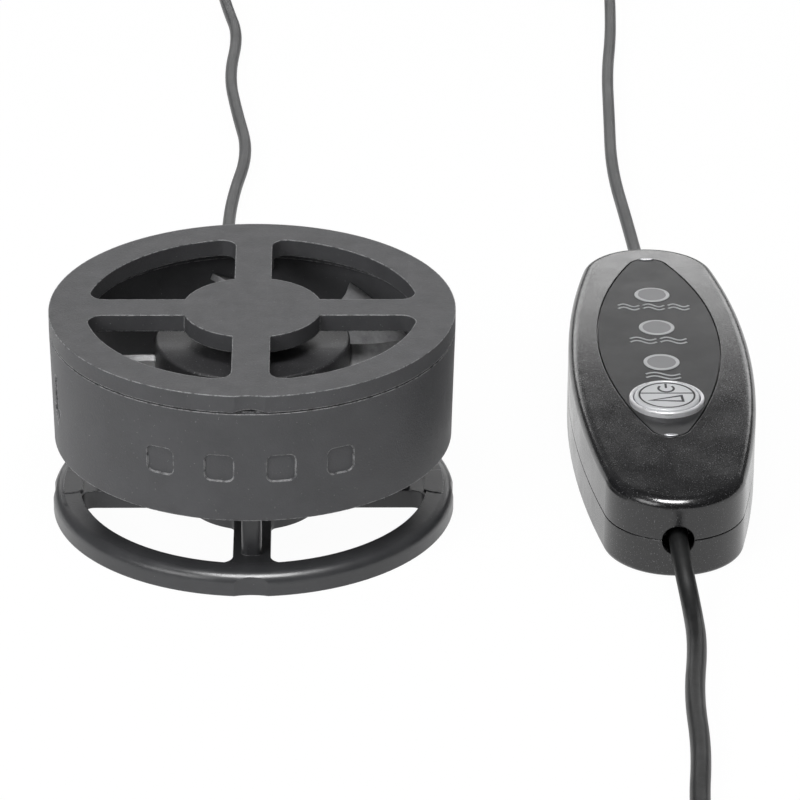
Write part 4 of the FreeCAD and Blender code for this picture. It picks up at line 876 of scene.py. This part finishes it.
class WAVEPUMP_OT_button(bpy.types.Operator):
    """Make the speed button's finish and the symbols on it"""
    bl_idname = "wave_pump.button"
    bl_label = "Button"

    def execute(self, context):
        sizes = context.scene.wave_pump_sizes
        colours = context.scene.wave_pump_colours
        give(moulded_plastic("Button plastic", colours.button, roughness=0.34, spacing=0.00016,
                             relief=0.000008, unevenness=0.10, fleck=0.01, wear=0.0, dust=0.0,
                             pale=(0.9, 0.9, 0.92), coat=0.35), "speed_button")
        give(bare_metal("Bezel metal", (0.92, 0.92, 0.94), roughness=0.30, stretch=(1, 1, 5),
                        fineness=1800.0, metallic=0.3),
             "button_bezel")
        ink = moulded_plastic("Dark print", colours.dark_print, roughness=0.5, spacing=0.00018,
                              relief=0.000006, wear=0.0, dust=0.0)
        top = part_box("speed_button")[1].z
        self.groove_lines(ink, top)
        self.power_symbol(ink, sizes, top)
        self.ramp_symbol(ink, sizes, top)
        return {"FINISHED"}

    def groove_lines(self, ink, top):
        """Dark lines along the round groove and across the button."""
        work = bmesh.new()
        ring = arc_points(CONTROLLER_X, BUTTON_Y, GROOVE_RADIUS, 0.0, 360.0, GROOVE_STEPS)[:-1]
        ribbon(work, ring, GROOVE_WIDTH, lambda _: top, GROOVE_HEIGHT, closed=True)
        line = [(CONTROLLER_X + side * GROOVE_RADIUS, BUTTON_Y + GROOVE_LINE_Y) for side in (-1, 1)]
        ribbon(work, line, GROOVE_WIDTH, lambda _: top, GROOVE_HEIGHT)
        mesh_piece("button_groove_lines", work, "button", ink)

    def power_symbol(self, ink, sizes, top):
        work = bmesh.new()
        x = CONTROLLER_X
        y = BUTTON_Y + POWER_SYMBOL_Y
        width = sizes.print_line * POWER_LINE_SHARE
        arc = arc_points(x, y, POWER_SYMBOL_RADIUS, *POWER_SYMBOL_ARC, POWER_SYMBOL_STEPS)
        ribbon(work, arc, width, lambda _: top, sizes.print_height)
        ribbon(work, [(x, y + end) for end in POWER_SYMBOL_BAR], width,
               lambda _: top, sizes.print_height)
        mesh_piece("button_power_symbol", work, "button", ink)

    def ramp_symbol(self, ink, sizes, top):
        work = bmesh.new()
        corners = [(CONTROLLER_X + x, BUTTON_Y + y) for x, y in RAMP_SYMBOL_CORNERS]
        ribbon(work, corners, sizes.print_line, lambda _: top, sizes.print_height, closed=True)
        mesh_piece("button_ramp_symbol", work, "button", ink)


class WAVEPUMP_OT_pump_cord(bpy.types.Operator):
    """Lay the cord from the pump, through its tied coil, to the controller"""
    bl_idname = "wave_pump.pump_cord"
    bl_label = "Pump cord"

    def execute(self, context):
        diameter = context.scene.wave_pump_sizes.pump_cord
        material = cord_material("Pump cord jacket", context.scene.wave_pump_colours.pump_cord)
        coil = coil_points(PUMP_COIL_CENTRE, diameter, PUMP_COIL_START_DEGREES, 1.0, PUMP_COIL_TURNS)
        points = list(PUMP_CORD_POINTS) + coil + list(PUMP_RETURN_POINTS)
        cord = cord_curve("pump_cord_line", points, diameter, material,
                          ("pump_cord", "pump_cord_coil", "pump_cord_return"))
        give(moulded_plastic("Tie band", (0.025, 0.025, 0.027), roughness=0.6, spacing=0.0006,
                             relief=0.00005, wear=0.2),
             "pump_coil_tie", "supply_coil_tie")
        return {"FINISHED"}


class WAVEPUMP_OT_supply_cord(bpy.types.Operator):
    """Lay the cord from the controller, through its tied coil, to the plug"""
    bl_idname = "wave_pump.supply_cord"
    bl_label = "Supply cord and plug"

    def execute(self, context):
        diameter = context.scene.wave_pump_sizes.supply_cord
        material = cord_material("Supply cord jacket", context.scene.wave_pump_colours.supply_cord)
        coil = coil_points(SUPPLY_COIL_CENTRE, diameter, SUPPLY_COIL_START_DEGREES, -1.0,
                           SUPPLY_COIL_TURNS)
        points = list(SUPPLY_CORD_POINTS) + coil + list(SUPPLY_TAIL_POINTS)
        cord = cord_curve("supply_cord_line", points, diameter, material,
                          ("supply_cord", "supply_cord_coil", "supply_cord_tail"))
        give(moulded_plastic("Plug plastic", (0.020, 0.020, 0.021), roughness=0.36, spacing=0.0004,
                             relief=0.00002),
             "usb_plug_grip")
        give(bare_metal("Plug nickel", (0.70, 0.69, 0.66), roughness=0.22, stretch=(1, 6, 6),
                        fineness=900.0), "usb_plug_shell")
        give(moulded_plastic("Plug insert", (0.75, 0.75, 0.74), roughness=0.4), "usb_plug_tongue")
        give(bare_metal("Contact gold", (0.92, 0.68, 0.28), roughness=0.2, stretch=(1, 6, 6),
                        fineness=900.0), "usb_contacts")
        return {"FINISHED"}


class WAVEPUMP_PT_parts(bpy.types.Panel):
    """Sizes, colours and the pieces that can be made"""
    bl_idname = "WAVEPUMP_PT_parts"
    bl_label = "Wave maker pump"
    bl_space_type = "VIEW_3D"
    bl_region_type = "UI"
    bl_category = "Wave Pump"

    def draw(self, context):
        for group in (context.scene.wave_pump_sizes, context.scene.wave_pump_colours):
            box = self.layout.box()
            for name in group.__annotations__:
                box.prop(group, name)
        for operator in OPERATORS:
            self.layout.operator(operator.bl_idname)


OPERATORS = (
    WAVEPUMP_OT_stage, WAVEPUMP_OT_pump_cord, WAVEPUMP_OT_supply_cord, WAVEPUMP_OT_housing,
    WAVEPUMP_OT_stand, WAVEPUMP_OT_impeller, WAVEPUMP_OT_controller, WAVEPUMP_OT_panel,
    WAVEPUMP_OT_button,
)
CLASSES = (WavePumpSizes, WavePumpColours) + OPERATORS + (WAVEPUMP_PT_parts,)


def register():
    for entry in CLASSES:
        bpy.utils.register_class(entry)
    bpy.types.Scene.wave_pump_sizes = PointerProperty(type=WavePumpSizes)
    bpy.types.Scene.wave_pump_colours = PointerProperty(type=WavePumpColours)


def unregister():
    del bpy.types.Scene.wave_pump_colours
    del bpy.types.Scene.wave_pump_sizes
    for entry in reversed(CLASSES):
        bpy.utils.unregister_class(entry)


def main():
    register()
    for operator in OPERATORS:
        section, name = operator.bl_idname.split(".")
        getattr(getattr(bpy.ops, section), name)()


if __name__ == "__main__":
    main()
